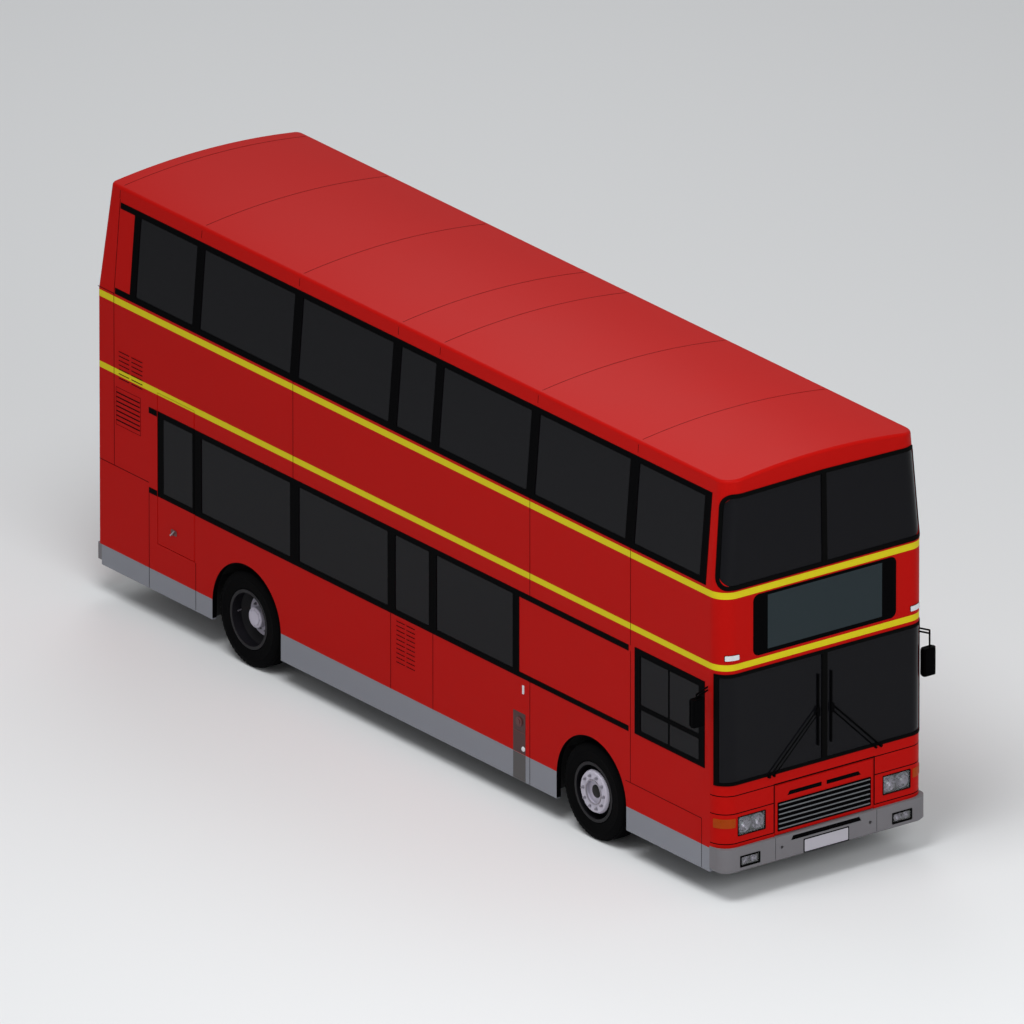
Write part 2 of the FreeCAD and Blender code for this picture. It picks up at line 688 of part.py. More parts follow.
# ---------------------------------------------------------------- mirrors and wipers

mirror_reach = 230.0         # outer edge of a mirror, outboard of the body side
mirror_width, mirror_height, mirror_depth = 145.0, 290.0, 60.0
mirror_x = face - 180.0
arm_radius = 9.0


def mirror(side, mount_x, mount_inset, mount_z, drop_z, head_bottom):
    """A mirror head hung from a bracket arm; mount_inset is measured in from the body side."""
    edge = half_width + mirror_reach
    head = block(mirror_x - mirror_depth / 2, mirror_x + mirror_depth / 2, edge - mirror_width,
                 edge, head_bottom, head_bottom + mirror_height)
    upright = [e for e in head.Edges if abs(e.Vertexes[0].Z - e.Vertexes[1].Z) > 1]
    head = head.makeFillet(20.0, upright)
    elbow = (mirror_x, edge - 60, drop_z)
    pieces = [head, Part.makeSphere(arm_radius, V(*elbow))]
    pieces.append(rod(elbow, (mirror_x, edge - 60, head_bottom + mirror_height - 40), arm_radius))
    pieces.append(rod((mount_x, half_width - mount_inset, mount_z), elbow, arm_radius))
    pieces.append(rod((mount_x, half_width - mount_inset, mount_z - 34),
                      (mirror_x, edge - 60, drop_z - 34), arm_radius))
    whole = fused(pieces).cut(outer_form)
    return whole if side > 0 else mirrored(whole)


place("mirrors", [mirror(1, face - 100, 60, 2290, 2180, 1715),
                  mirror(-1, face - 235, 20, 2215, 2190, 1855)])

wiper_pivot_y, wiper_pivot_z = 680.0, 1213.0
wiper_top_y, wiper_top_z = 95.0, 1780.0
blade_y, blade_bottom, blade_top = 80.0, 1397.0, 2140.0
wiper = [rod((face, wiper_pivot_y, wiper_pivot_z), (face + 26, wiper_pivot_y, wiper_pivot_z), 16),
         rod((face + 20, wiper_pivot_y, wiper_pivot_z), (face + 20, wiper_top_y, wiper_top_z), 7),
         rod((face, wiper_pivot_y - 60, wiper_pivot_z - 4),
             (face + 25, wiper_pivot_y - 60, wiper_pivot_z - 4), 12),
         rod((face + 17, wiper_pivot_y - 60, wiper_pivot_z - 4),
             (face + 17, wiper_top_y, wiper_top_z - 55), 5),
         block(face + 8, face + 25, blade_y - 12, blade_y + 24, wiper_top_z - 75, wiper_top_z + 20),
         block(face - glass_inset + 0.3, face + 16, blade_y - 7, blade_y + 7,
               blade_bottom, blade_top)]
place("wipers", both_sides(fused(wiper)))


# ---------------------------------------------------------------- wheels

def ring(y0, y1, inner, outer, station):
    return turned([(y0, inner), (y1, inner), (y1, outer), (y0, outer)], station, axle_height)


def tyre(station, inner_face):
    """Tyre from its inner wall outwards; the seat is the rim's barrel."""
    y0, y1 = inner_face, inner_face + tyre_width
    seat = rim_radius + pin_gap
    profile = [(y0 + 20, seat), (y1 - 20, seat), (y1 - 20, rim_flange + 4),
               (y1 - 10, rim_flange + 10), (y1, 380), (y1, 425), (y1 - 14, 470), (y1 - 38, 493),
               (y1 - 60, tyre_radius), (y0 + 60, tyre_radius), (y0 + 38, 493), (y0 + 14, 470),
               (y0, 425), (y0, 380), (y0 + 10, rim_flange + 10), (y0 + 20, rim_flange + 4)]
    return turned(profile, station, axle_height)


def rim_barrel(station, inner_face):
    y0, y1 = inner_face, inner_face + tyre_width
    inner = rim_radius - rim_wall
    return [ring(y0 + 8, y1 - 8, inner, rim_radius, station),
            ring(y0 + 8, y0 + 19, rim_radius - 2, rim_flange, station),
            ring(y1 - 19, y1 - 8, rim_radius - 2, rim_flange, station)]


wheel_outer = half_width - wheel_face
front_inner = wheel_outer - tyre_width
kingpin_y = half_width - kingpin_inset
front_dish = [(126, 270), (138, 280), (230, 228), (270, 206), (270, 130), (234, 130),
              (234, front_hub_bore), (115, front_hub_bore), (115, 78), (218, 78), (218, 143),
              (254, 150), (254, 198), (219, 213)]
front_rim = rim_barrel(front_axle, front_inner)
front_rim.append(turned([(front_inner + y, radius) for y, radius in front_dish], front_axle,
                        axle_height))
front_rim = fused(front_rim)
front_tyre = tyre(front_axle, front_inner)

twin_inner = front_inner - tyre_width - twin_gap
rear_dish = [(twin_inner + tyre_width - 30, 276), (twin_inner + tyre_width - 16, 280),
             (wheel_outer - 212, 216), (wheel_outer - 200, 216), (wheel_outer - 130, 280),
             (wheel_outer - 118, 276), (wheel_outer - 190, 200), (wheel_outer - 190, 105),
             (wheel_outer - 92, 105), (wheel_outer - 84, 96), (wheel_outer - 84, rear_hub_bore),
             (twin_inner + 150, rear_hub_bore), (twin_inner + 150, 200),
             (wheel_outer - 222, 200)]
rear_rim = rim_barrel(rear_axle, front_inner) + rim_barrel(rear_axle, twin_inner)
rear_rim.append(turned(rear_dish, rear_axle, axle_height))
rear_rim = fused(rear_rim)
rear_tyres = [tyre(rear_axle, front_inner), tyre(rear_axle, twin_inner)]

for side, mirror_it in (("left", False), ("right", True)):
    for name, shapes in (("front_wheel_", [front_rim]), ("front_tyre_", [front_tyre]),
                         ("rear_wheel_", [rear_rim]), ("rear_tyres_", rear_tyres)):
        place(name + side, [mirrored(s) if mirror_it else s for s in shapes])


# ---------------------------------------------------------------- axles and knuckles

eye_radius, eye_half = 50.0, 70.0
lug_thickness = 40.0
lug_gap = 2.0
web_start = kingpin_y + eye_radius + 5.0
spindle_end = front_inner + 225.0
lug_low = axle_height - eye_half - lug_gap - lug_thickness
lug_high = axle_height + eye_half + lug_gap
lugs = []
for z in (lug_low, lug_high):
    lugs.append(rod((front_axle, kingpin_y, z), (front_axle, kingpin_y, z + lug_thickness),
                    eye_radius))
    lugs.append(block(front_axle - 45, front_axle + 45, kingpin_y, web_start + 30, z,
                      z + lug_thickness))
web = block(front_axle - 45, front_axle + 45, web_start, web_start + 30, lug_low,
            lug_high + lug_thickness)
drum_plate = ring(web_start + 25, web_start + 40, 30, 190, front_axle)
spindle = rod((front_axle, web_start, axle_height), (front_axle, spindle_end, axle_height),
              front_hub_bore - hub_clearance)
kingpin_bore = rod((front_axle, kingpin_y, lug_low - 10), (front_axle, kingpin_y, lug_high + 60),
                   kingpin_radius + hub_clearance)
knuckle = fused(lugs + [web, drum_plate, spindle]).cut(kingpin_bore)
place("knuckle_left", [knuckle])
place("knuckle_right", [mirrored(knuckle)])

beam_low, beam_high = 340.0, 430.0
beam_end = 760.0
beam = [block(front_axle - 45, front_axle + 45, -beam_end, beam_end, beam_low, beam_high)]
for side in (1, -1):
    arm = [(front_axle - 40, side * (beam_end - 60), beam_low),
           (front_axle - 40, side * beam_end, beam_low),
           (front_axle - 40, side * (kingpin_y - 20), axle_height - 50),
           (front_axle - 40, side * (kingpin_y - 20), axle_height + 50),
           (front_axle - 40, side * (beam_end - 60), beam_high)]
    beam.append(prism(arm, (80, 0, 0)))
    eye = side * kingpin_y
    beam.append(rod((front_axle, eye, axle_height - eye_half),
                    (front_axle, eye, axle_height + eye_half), eye_radius))
    beam.append(rod((front_axle, eye, lug_low), (front_axle, eye, lug_high + lug_thickness),
                    kingpin_radius))
    beam.append(rod((front_axle, side * rail_offset, beam_high - 5),
                    (front_axle, side * rail_offset, floor_top - floor_thickness - rail_height),
                    85))
place("front_axle", [fused(beam)])

spring_top = rear_floor_top - floor_thickness - rail_height
casing = [rod((rear_axle, -twin_inner - 60, axle_height), (rear_axle, twin_inner + 60, axle_height),
              axle_tube_radius),
          rod((rear_axle, -(wheel_outer - 110), axle_height),
              (rear_axle, wheel_outer - 110, axle_height), rear_hub_bore - hub_clearance),
          Part.makeSphere(200, V(rear_axle, -150, axle_height)),
          rod((rear_axle - 330, -150, axle_height), (rear_axle, -150, axle_height), 90)]
for side in (1, -1):
    casing.append(rod((rear_axle, side * rail_offset, axle_height),
                      (rear_axle, side * rail_offset, spring_top), 85))
place("rear_axle", [fused(casing)])


# ---------------------------------------------------------------- chassis

low_rail = floor_top - floor_thickness
high_rail = rear_floor_top - floor_thickness
hump_rear, hump_front = rear_axle - 700.0, rear_floor_front - 90.0
front_drop = platform_top - floor_thickness
rail_end = front_zone - 60
drop_rail = 50.0
rail_profile = [(120, low_rail), (hump_rear, low_rail), (hump_rear, high_rail),
                (hump_front, high_rail), (hump_front, low_rail), (platform_rear - 60, low_rail),
                (platform_rear - 60, front_drop), (rail_end, front_drop),
                (rail_end, front_drop - drop_rail), (platform_rear - 160, front_drop - drop_rail),
                (platform_rear - 160, low_rail - rail_height),
                (hump_front - rail_height, low_rail - rail_height),
                (hump_front - rail_height, high_rail - rail_height),
                (hump_rear + rail_height, high_rail - rail_height),
                (hump_rear + rail_height, low_rail - rail_height),
                (120, low_rail - rail_height)]
rail_inner = rail_offset - rail_width / 2
rail = prism([(x, rail_inner, z) for x, z in rail_profile], (0, rail_width, 0))
frame = both_sides(rail)
# Cross members: station, underside height
cross_members = [(180, 460), (1300, 460), (3400, 460), (4700, 460), (6000, 460), (7300, 460),
                 (9500, 255)]
for distance, z in cross_members:
    x = along(distance)
    frame.append(block(x, x + 80, -rail_offset, rail_offset, z, z + 50))
    outrigger = block(x, x + 80, rail_offset, half_width - wall, z, z + 50)
    frame += both_sides(outrigger)
place("chassis_frame", [fused(frame).common(inner_form)])

engine_rear, engine_front, engine_top = 150.0, 790.0, 1330.0
place("engine_block", [block(engine_rear, engine_front, -880, 560, low_rail, engine_top)])
tank_length, tank_front = 850.0, along(7150)
place("fuel_tank", [block(tank_front - tank_length, tank_front, -1130,
                          -rail_offset - rail_width / 2, 300, 560)])
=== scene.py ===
import math

import bmesh
import bpy
from mathutils import Matrix, Vector


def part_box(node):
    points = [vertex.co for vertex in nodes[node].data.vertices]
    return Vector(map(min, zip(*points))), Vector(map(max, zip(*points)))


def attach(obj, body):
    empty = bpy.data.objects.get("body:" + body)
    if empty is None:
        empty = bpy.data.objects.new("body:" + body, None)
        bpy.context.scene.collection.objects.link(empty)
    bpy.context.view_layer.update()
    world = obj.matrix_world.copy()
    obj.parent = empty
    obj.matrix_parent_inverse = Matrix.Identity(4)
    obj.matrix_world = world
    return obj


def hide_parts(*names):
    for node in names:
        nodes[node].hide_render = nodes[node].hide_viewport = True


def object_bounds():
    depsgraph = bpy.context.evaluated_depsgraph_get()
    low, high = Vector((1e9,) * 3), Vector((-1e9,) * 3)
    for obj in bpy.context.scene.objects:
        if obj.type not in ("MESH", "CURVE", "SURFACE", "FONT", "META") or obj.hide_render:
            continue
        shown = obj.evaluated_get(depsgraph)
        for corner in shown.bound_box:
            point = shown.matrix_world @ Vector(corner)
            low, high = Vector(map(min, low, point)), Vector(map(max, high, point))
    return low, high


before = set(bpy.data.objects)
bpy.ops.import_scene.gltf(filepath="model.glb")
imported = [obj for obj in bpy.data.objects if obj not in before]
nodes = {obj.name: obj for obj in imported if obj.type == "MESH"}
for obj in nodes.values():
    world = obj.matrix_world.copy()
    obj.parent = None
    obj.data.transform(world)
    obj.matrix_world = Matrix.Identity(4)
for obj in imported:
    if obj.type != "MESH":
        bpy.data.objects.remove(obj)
cadBounds = [list(corner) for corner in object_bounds()]
bodyRoot = "bus_body"
print("frame loaded:", len(nodes), "nodes")

# The body's plan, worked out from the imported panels
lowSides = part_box("lower_side_panels")
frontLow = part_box("front_lower_panel")
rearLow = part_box("rear_lower_panel")
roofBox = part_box("roof")
noseX = frontLow[1][0]                       # front face
tailX = rearLow[0][0]                        # rear face
sideY = lowSides[1][1]                       # half width at the waist
cornerR = noseX - frontLow[0][0]             # front corners in plan
leanZ = 3.24                                 # the walls lean in above this height
sideLean, noseLean, tailLean = 0.08 / 0.96, 0.022 / 0.91, 0.07 / 1.01
cornerStart = sideY - cornerR                # flat half width of the front
cornerEnd = cornerStart + cornerR * math.pi / 2
groundZ = cadBounds[0][2]


def srgb(red, green, blue):
    linear = []
    for level in (red, green, blue):
        c = level / 255
        linear.append(c / 12.92 if c <= 0.04045 else ((c + 0.055) / 1.055) ** 2.4)
    return (*linear, 1.0)


# Camera and light

viewPlan = dict(azimuth=53.17, elevation=21.71, lens=1650.0, width=10.02,
                aim=(0.012, 0.016, 2.189), clip=(10.0, 9000.0))


def addCamera():
    data = bpy.data.cameras.new("mainCamera")
    data.lens = viewPlan["lens"]
    data.clip_start, data.clip_end = viewPlan["clip"]
    distance = viewPlan["width"] / 2 / (data.sensor_width / 2 / data.lens)
    az, el = math.radians(viewPlan["azimuth"]), math.radians(viewPlan["elevation"])
    away = Vector((math.sin(az) * math.cos(el), -math.cos(az) * math.cos(el), math.sin(el)))
    camera = bpy.data.objects.new("mainCamera", data)
    camera.location = Vector(viewPlan["aim"]) + away * distance
    camera.rotation_euler = away.to_track_quat("Z", "Y").to_euler()
    bpy.context.collection.objects.link(camera)
    bpy.context.scene.camera = camera


studio = dict(
    # place, size and power of each lamp
    lamps=dict(keyLamp=((6, -9, 24), 12, 3300.0), noseLamp=((22, -4, 12), 10, 1500.0),
               rearLamp=((-18, 12, 20), 12, 900.0)),
    aim=(0, 0, 1.5), skyLevel=0.42, floorTone=(226, 228, 230), floorHalf=300,
)


def addLamp(name, place, size, power):
    data = bpy.data.lights.new(name, "AREA")
    data.shape, data.size, data.energy = "DISK", size, power
    lamp = bpy.data.objects.new(name, data)
    lamp.location = place
    lamp.rotation_euler = (Vector(place) - Vector(studio["aim"])).to_track_quat("Z", "Y").to_euler()
    bpy.context.collection.objects.link(lamp)


def addStudio():
    for name, settings in studio["lamps"].items():
        addLamp(name, *settings)
    world = bpy.data.worlds.new("studioWorld")
    bpy.context.scene.world = world
    world.use_nodes = True
    sky = world.node_tree.nodes["Background"]
    sky.inputs["Color"].default_value = (1, 1, 1, 1)
    sky.inputs["Strength"].default_value = studio["skyLevel"]
    bm = bmesh.new()
    bmesh.ops.create_grid(bm, x_segments=1, y_segments=1, size=studio["floorHalf"],
                          matrix=Matrix.Translation((0, 0, groundZ)))
    mesh = bpy.data.meshes.new("studioFloor")
    bm.to_mesh(mesh)
    bm.free()
    floor = bpy.data.objects.new("studioFloor", mesh)
    bpy.context.collection.objects.link(floor)
    paper = bpy.data.materials.new("studioPaper")
    paper.use_nodes = True
    shader = paper.node_tree.nodes["Principled BSDF"]
    shader.inputs["Base Color"].default_value = srgb(*studio["floorTone"])
    shader.inputs["Roughness"].default_value = 0.9
    mesh.materials.append(paper)


addCamera()
addStudio()
bpy.context.scene.view_settings.view_transform = "Standard"
print("camera and studio ready")


# Shared effects

def newGroup(name, inputs, outputs):
    # sockets hold numbers, apart from Color
    group = bpy.data.node_groups.new(name, "ShaderNodeTree")
    for side, labels in (("INPUT", inputs), ("OUTPUT", outputs)):
        for label in labels:
            kind = "NodeSocketColor" if label == "Color" else "NodeSocketFloat"
            socket = group.interface.new_socket(label, in_out=side, socket_type=kind)
            if side == "INPUT" and label != "Color":
                socket.default_value = inputs[label]
    tree = group.nodes
    return group, tree, tree.new("NodeGroupInput"), tree.new("NodeGroupOutput")


def mathNode(net, operation, *values):
    node = net.nodes.new("ShaderNodeMath")
    node.operation = operation
    for index, value in enumerate(values):
        if hasattr(value, "is_output"):
            net.links.new(value, node.inputs[index])
        else:
            node.inputs[index].default_value = value
    return node.outputs[0]


def splitPosition(net):
    coords = net.nodes.new("ShaderNodeTexCoord")
    parts = net.nodes.new("ShaderNodeSeparateXYZ")
    net.links.new(coords.outputs["Object"], parts.inputs[0])
    return parts


def makeFinishGroup():
    # uneven tone, roughness and a fine orange-peel height
    group, tree, inn, out = newGroup(
        "surfaceFinish",
        {"Color": None, "Tone": 0.06, "Roughness": 0.3, "Spread": 0.08, "Patch Scale": 1.5,
         "Grain Scale": 140.0}, ["Color", "Roughness", "Height"])
    links = group.links
    coords = tree.new("ShaderNodeTexCoord")
    patch = tree.new("ShaderNodeTexNoise")
    patch.inputs["Detail"].default_value = 3
    links.new(coords.outputs["Object"], patch.inputs["Vector"])
    links.new(inn.outputs["Patch Scale"], patch.inputs["Scale"])
    grain = tree.new("ShaderNodeTexNoise")
    links.new(coords.outputs["Object"], grain.inputs["Vector"])
    links.new(inn.outputs["Grain Scale"], grain.inputs["Scale"])
    centred = mathNode(group, "SUBTRACT", patch.outputs["Fac"], 0.5)
    tone = mathNode(group, "MULTIPLY_ADD", centred, inn.outputs["Tone"], 1.0)
    shade = tree.new("ShaderNodeVectorMath")
    shade.operation = "SCALE"
    links.new(inn.outputs["Color"], shade.inputs[0])
    links.new(tone, shade.inputs["Scale"])
    links.new(shade.outputs[0], out.inputs["Color"])
    rough = mathNode(group, "MULTIPLY_ADD", centred, inn.outputs["Spread"],
                     inn.outputs["Roughness"])
    links.new(rough, out.inputs["Roughness"])
    links.new(grain.outputs["Fac"], out.inputs["Height"])
    return group


def makeBandGroup():
    # 1 between Low and High of the height above ground
    group, tree, inn, out = newGroup("heightBand", dict(Low=0.0, High=1.0), ["Mask"])
    parts = splitPosition(group)
    above = mathNode(group, "GREATER_THAN", parts.outputs["Z"], inn.outputs["Low"])
    below = mathNode(group, "LESS_THAN", parts.outputs["Z"], inn.outputs["High"])
    group.links.new(mathNode(group, "MULTIPLY", above, below), out.inputs["Mask"])
    return group


finishGroup = makeFinishGroup()
bandGroup = makeBandGroup()


def finish(name, color, roughness=0.35, tone=0.06, spread=0.08, patchScale=1.5, grainScale=140.0,
           bump=0.02, grainDepth=0.001, **plain):
    material = bpy.data.materials.new(name)
    material.use_nodes = True
    tree, links = material.node_tree.nodes, material.node_tree.links
    shader = tree["Principled BSDF"]
    group = tree.new("ShaderNodeGroup")
    group.node_tree = finishGroup
    values = {"Color": srgb(*color), "Tone": tone, "Roughness": roughness, "Spread": spread,
              "Patch Scale": patchScale, "Grain Scale": grainScale}
    for label, value in values.items():
        group.inputs[label].default_value = value
    links.new(group.outputs["Color"], shader.inputs["Base Color"])
    links.new(group.outputs["Roughness"], shader.inputs["Roughness"])
    if bump:
        relief = tree.new("ShaderNodeBump")
        relief.inputs["Strength"].default_value = bump
        relief.inputs["Distance"].default_value = grainDepth
        links.new(group.outputs["Height"], relief.inputs["Height"])
        links.new(relief.outputs["Normal"], shader.inputs["Normal"])
    for label, value in plain.items():
        shader.inputs[label.replace("_", " ")].default_value = value
    return material


def addMask(tree, group, **values):
    # a node of a mask group, its inputs set
    node = tree.new("ShaderNodeGroup")
    node.node_tree = group
    for label, value in values.items():
        node.inputs[label].default_value = value
    return node.outputs[0]


def twoTone(material, first, second, mask):
    # the second colour shows where the mask is 1
    tree, links = material.node_tree.nodes, material.node_tree.links
    group = next(node for node in tree if node.type == "GROUP")
    mix = tree.new("ShaderNodeMix")
    mix.data_type = "RGBA"
    mix.inputs["A"].default_value = srgb(*first)
    mix.inputs["B"].default_value = srgb(*second)
    links.new(mask, mix.inputs["Factor"])
    links.new(mix.outputs["Result"], group.inputs["Color"])
    return material


def makeHubGroup():
    # 1 within a radius of a wheel's middle
    group, tree, inn, out = newGroup("hubDisc", dict(Axle=0.0, Height=0.5, Radius=0.2),
                                     ["Mask"])
    parts = splitPosition(group)
    across = mathNode(group, "SUBTRACT", parts.outputs["X"], inn.outputs["Axle"])
    above = mathNode(group, "SUBTRACT", parts.outputs["Z"], inn.outputs["Height"])
    reach = mathNode(group, "SQRT", mathNode(
        group, "ADD", mathNode(group, "MULTIPLY", across, across),
        mathNode(group, "MULTIPLY", above, above)))
    group.links.new(mathNode(group, "LESS_THAN", reach, inn.outputs["Radius"]),
                    out.inputs["Mask"])
    return group


hubGroup = makeHubGroup()


def wheelPaint(name, axle, radius):
    # silver hub disc in a black rim
    plan = dict(silver=(186, 182, 196), rim=(19, 18, 22))
    material = finish(name, plan["silver"], roughness=0.4, tone=0.1, bump=0.08,
                      patchScale=9.0, grainScale=300.0, Specular_IOR_Level=0.15)
    disc = addMask(material.node_tree.nodes, hubGroup, Axle=axle, Radius=radius)
    return twoTone(material, plan["rim"], plan["silver"], disc)


def coachPaint():
    # red coach enamel with two yellow lines
    paint = dict(red=(172, 15, 11), yellow=(204, 190, 30), lines=((2.415, 2.48), (3.165, 3.235)))
    material = finish("coachRed", paint["red"], roughness=0.36, tone=0.05, spread=0.06,
                      patchScale=0.8, grainScale=260.0, bump=0.03, Specular_IOR_Level=0.03)
    net = material.node_tree
    bands = [addMask(net.nodes, bandGroup, Low=low, High=high) for low, high in paint["lines"]]
    return twoTone(material, paint["red"], paint["yellow"], mathNode(net, "ADD", *bands))


def tintedGlass(name, tint, clear=0.9):
    return finish(name, tint, roughness=0.04, tone=0.03, spread=0.03, patchScale=2.0,
                  bump=0.0, IOR=1.3, Transmission_Weight=clear, Specular_IOR_Level=0.1)


coachRed = coachPaint()
skirtGrey = finish("skirtGrey", (117, 120, 129), roughness=0.42, tone=0.07, patchScale=2.0,
                   bump=0.05, Coat_Weight=0.1)
bumperGrey = finish("bumperGrey", (109, 107, 111), roughness=0.5, tone=0.12, patchScale=2.5,
                    bump=0.06, Specular_IOR_Level=0.2)
bandBlack = finish("bandBlack", (5, 5, 6), roughness=0.5, tone=0.2, bump=0.02,
                   Specular_IOR_Level=0.01)
sealRubber = finish("sealRubber", (7, 7, 7), roughness=0.6, tone=0.3, bump=0.2,
                    grainScale=500.0, Specular_IOR_Level=0.02)
windowGlass = tintedGlass("windowGlass", (18, 18, 22), clear=0.28)
moulding = finish("blackMoulding", (14, 14, 15), roughness=0.5, tone=0.2, bump=0.25,
                  grainScale=420.0, Specular_IOR_Level=0.25)
chassisBlack = finish("chassisBlack", (30, 30, 31), roughness=0.6, tone=0.3, bump=0.3,
                      patchScale=4.0, grainScale=60.0, grainDepth=0.002)
frontWheelPaint = wheelPaint("frontWheelPaint", tailX + 8.09, 0.222)
rearWheelPaint = wheelPaint("rearWheelPaint", tailX + 2.45, 0.204)
tyreRubber = finish("tyreRubber", (9, 9, 10), roughness=0.75, tone=0.25, bump=0.35,
                    patchScale=6.0, grainScale=220.0, grainDepth=0.0015, Specular_IOR_Level=0.02)
castIron = finish("castIron", (66, 66, 68), roughness=0.7, tone=0.3, bump=0.5,
                  patchScale=5.0, grainScale=80.0, grainDepth=0.003, Metallic=0.5)
floorRubber = finish("floorRubber", (70, 72, 76), roughness=0.7, tone=0.25, bump=0.4,
                     patchScale=8.0, grainScale=180.0)
lampClear = finish("lampClear", (214, 216, 222), roughness=0.1, tone=0.1, bump=0.0,
                   Coat_Weight=0.6)
print("materials ready")

paintedNodes = [
    (coachRed, "roof upper_side_panels lower_side_panels front_upper_panel front_lower_panel "
               "rear_upper_panel rear_lower_panel emergency_door engine_door grille_flap"),
    (skirtGrey, "skirt_panels"),
    (bumperGrey, "bumpers"),
    (windowGlass, "side_windows windscreens emergency_door_glass front_door_glass "
                  "rear_door_glass rear_emergency_window"),
    (bandBlack, "destination_box mirrors wipers front_door_leaf rear_door_leaf"),
    (moulding, "dashboard"),
    (lampClear, "lamps"),
    (floorRubber, "lower_deck_floor upper_deck_floor staircase seats"),
    (chassisBlack, "chassis_frame front_axle rear_axle knuckle_left knuckle_right fuel_tank "
                   "wheel_boxes"),
    (castIron, "engine_block"),
    (frontWheelPaint, "front_wheel_left front_wheel_right"),
    (rearWheelPaint, "rear_wheel_left rear_wheel_right"),
    (tyreRubber, "front_tyre_left front_tyre_right rear_tyres_left rear_tyres_right"),
]
for material, names in paintedNodes:
    for nodeName in names.split():
        mesh = nodes[nodeName].data
        if not mesh.materials:
            mesh.materials.append(material)
        for slot in nodes[nodeName].material_slots:
            slot.material = material
print("packed pieces painted")


# Shaping helpers

def station(distance):
    return tailX + distance                  # metres forward of the rear face


def bodyPoint(u, z, proud=0.0):
    # u runs from the middle of the nose, round the corner and back along the side
    side = 1 if u >= 0 else -1
    run = abs(u)
    rise = max(z - leanZ, 0.0)
    leaning = 1.0 if z > leanZ else 0.0
    half = sideY - rise * sideLean
    nose = noseX - rise * noseLean
    if run <= cornerStart:
        turn, x, y = 0.0, nose, run * (half - cornerR) / cornerStart
    elif run <= cornerEnd:
        turn = (run - cornerStart) / cornerR
        x = nose - cornerR * (1 - math.cos(turn))
        y = half - cornerR * (1 - math.sin(turn))
    else:
        turn, x, y = math.pi / 2, noseX - cornerR - (run - cornerEnd), half
    slope = leaning * (sideLean * math.sin(turn) + noseLean * math.cos(turn))
    normal = Vector((math.cos(turn), math.sin(turn), slope)).normalized()
    point = Vector((x, y, z)) + normal * proud
    return Vector((point.x, side * point.y, point.z))


def nosePoint(y, z, proud=0.0):
    # the front seen square on: y across, z up
    rise = max(z - leanZ, 0.0)
    flat = sideY - rise * sideLean - cornerR
    run = abs(y)
    if run > flat:
        run = cornerStart + cornerR * math.asin(min(1.0, (run - flat) / cornerR))
    else:
        run = run * cornerStart / flat
    return bodyPoint(math.copysign(run, y), z, proud)


def sideU(x, side):
    return side * (cornerEnd + noseX - cornerR - x)


def wrapU(degrees, side=1):
    return side * (cornerStart + cornerR * math.radians(degrees))


def rearPoint(y, z, proud=0.0):
    rise = max(z - leanZ, 0.0)
    slope = tailLean if z > leanZ else 0.0
    normal = Vector((-1, 0, slope)).normalized()
    return Vector((tailX + rise * tailLean, y, z)) + normal * proud


def newPiece(name, bm, material, body=bodyRoot, smooth=False, bevel=0.0):
    bmesh.ops.remove_doubles(bm, verts=bm.verts[:], dist=0.00002)
    bmesh.ops.recalc_face_normals(bm, faces=bm.faces[:])
    mesh = bpy.data.meshes.new(name)
    bm.to_mesh(mesh)
    bm.free()
    mesh.materials.append(material)
    if smooth:
        mesh.shade_smooth()
        mesh.set_sharp_from_angle(angle=math.radians(35))
    piece = bpy.data.objects.new(name, mesh)
    bpy.context.collection.objects.link(piece)
    if bevel:
        edge = piece.modifiers.new("softEdge", "BEVEL")
        edge.width, edge.segments, edge.limit_method = bevel, 2, "ANGLE"
        edge.angle_limit = math.radians(40)
    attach(piece, body)
    return piece


def warp(verts, place):
    for vert in verts:
        vert.co = place(*vert.co)


def draw(part, made, vec):
    # slides the new end of an extrusion along
    moved = [item for item in made["geom"] if isinstance(item, bmesh.types.BMVert)]
    bmesh.ops.translate(part, verts=moved, vec=vec)


def chain(part, points):
    # points joined end to end
    verts = [part.verts.new(point) for point in points]
    return verts, [part.edges.new(pair) for pair in zip(verts, verts[1:])]


def plate(bm, place, u0, u1, z0, z1, thick, radius=0.0, low=0.0, step=0.0, corners=8):
    # a thin panel in flat coordinates, its corners rounded, then laid on the body by place
    part = bmesh.new()
    ring = [part.verts.new((u, z, low)) for u, z in ((u0, z0), (u1, z0), (u1, z1), (u0, z1))]
    face = part.faces.new(ring)
    if radius:
        bmesh.ops.bevel(part, geom=ring, offset=radius, segments=corners, profile=0.5,
                        affect="VERTICES", material=-1)
        part.faces.ensure_lookup_table()
        face = part.faces[0]
    draw(part, bmesh.ops.extrude_face_region(part, geom=[face]), (0, 0, thick))
    cutSteps(part, min(u0, u1), max(u0, u1), step)
    warp(part.verts, place)
    mergeInto(bm, part)


def cutSteps(part, start, end, step):
    if not step:
        return
    count = int((end - start) / step)
    for index in range(1, count + 1):
        spot = start + (end - start) * index / (count + 1)
        geom = part.verts[:] + part.edges[:] + part.faces[:]
        bmesh.ops.bisect_plane(part, geom=geom, plane_co=(spot, 0, 0), plane_no=(1, 0, 0),
                               dist=0.00001)


def rectangle(u0, u1, z0, z1, grow=0.0):
    return [(u0 - grow, z0 - grow), (u1 + grow, z0 - grow), (u1 + grow, z1 + grow),
            (u0 - grow, z1 + grow)]


def borders(u0, u1, z0, z1, width):
    # the four strips just inside a rectangle's edges
    return ((u0, u1, z0, z0 + width), (u0, u1, z1 - width, z1),
            (u0, u0 + width, z0, z1), (u1 - width, u1, z0, z1))


def within(u0, u1, z0, z1, edge):
    return u0 + edge, u1 - edge, z0 + edge, z1 - edge


def mirrored(place, side):
    return lambda u, z, w: place(u * side, z, w)


def square(face):
    # upright on a flat face that looks forward
    return lambda y, z, w: Vector((face + w, y, z))


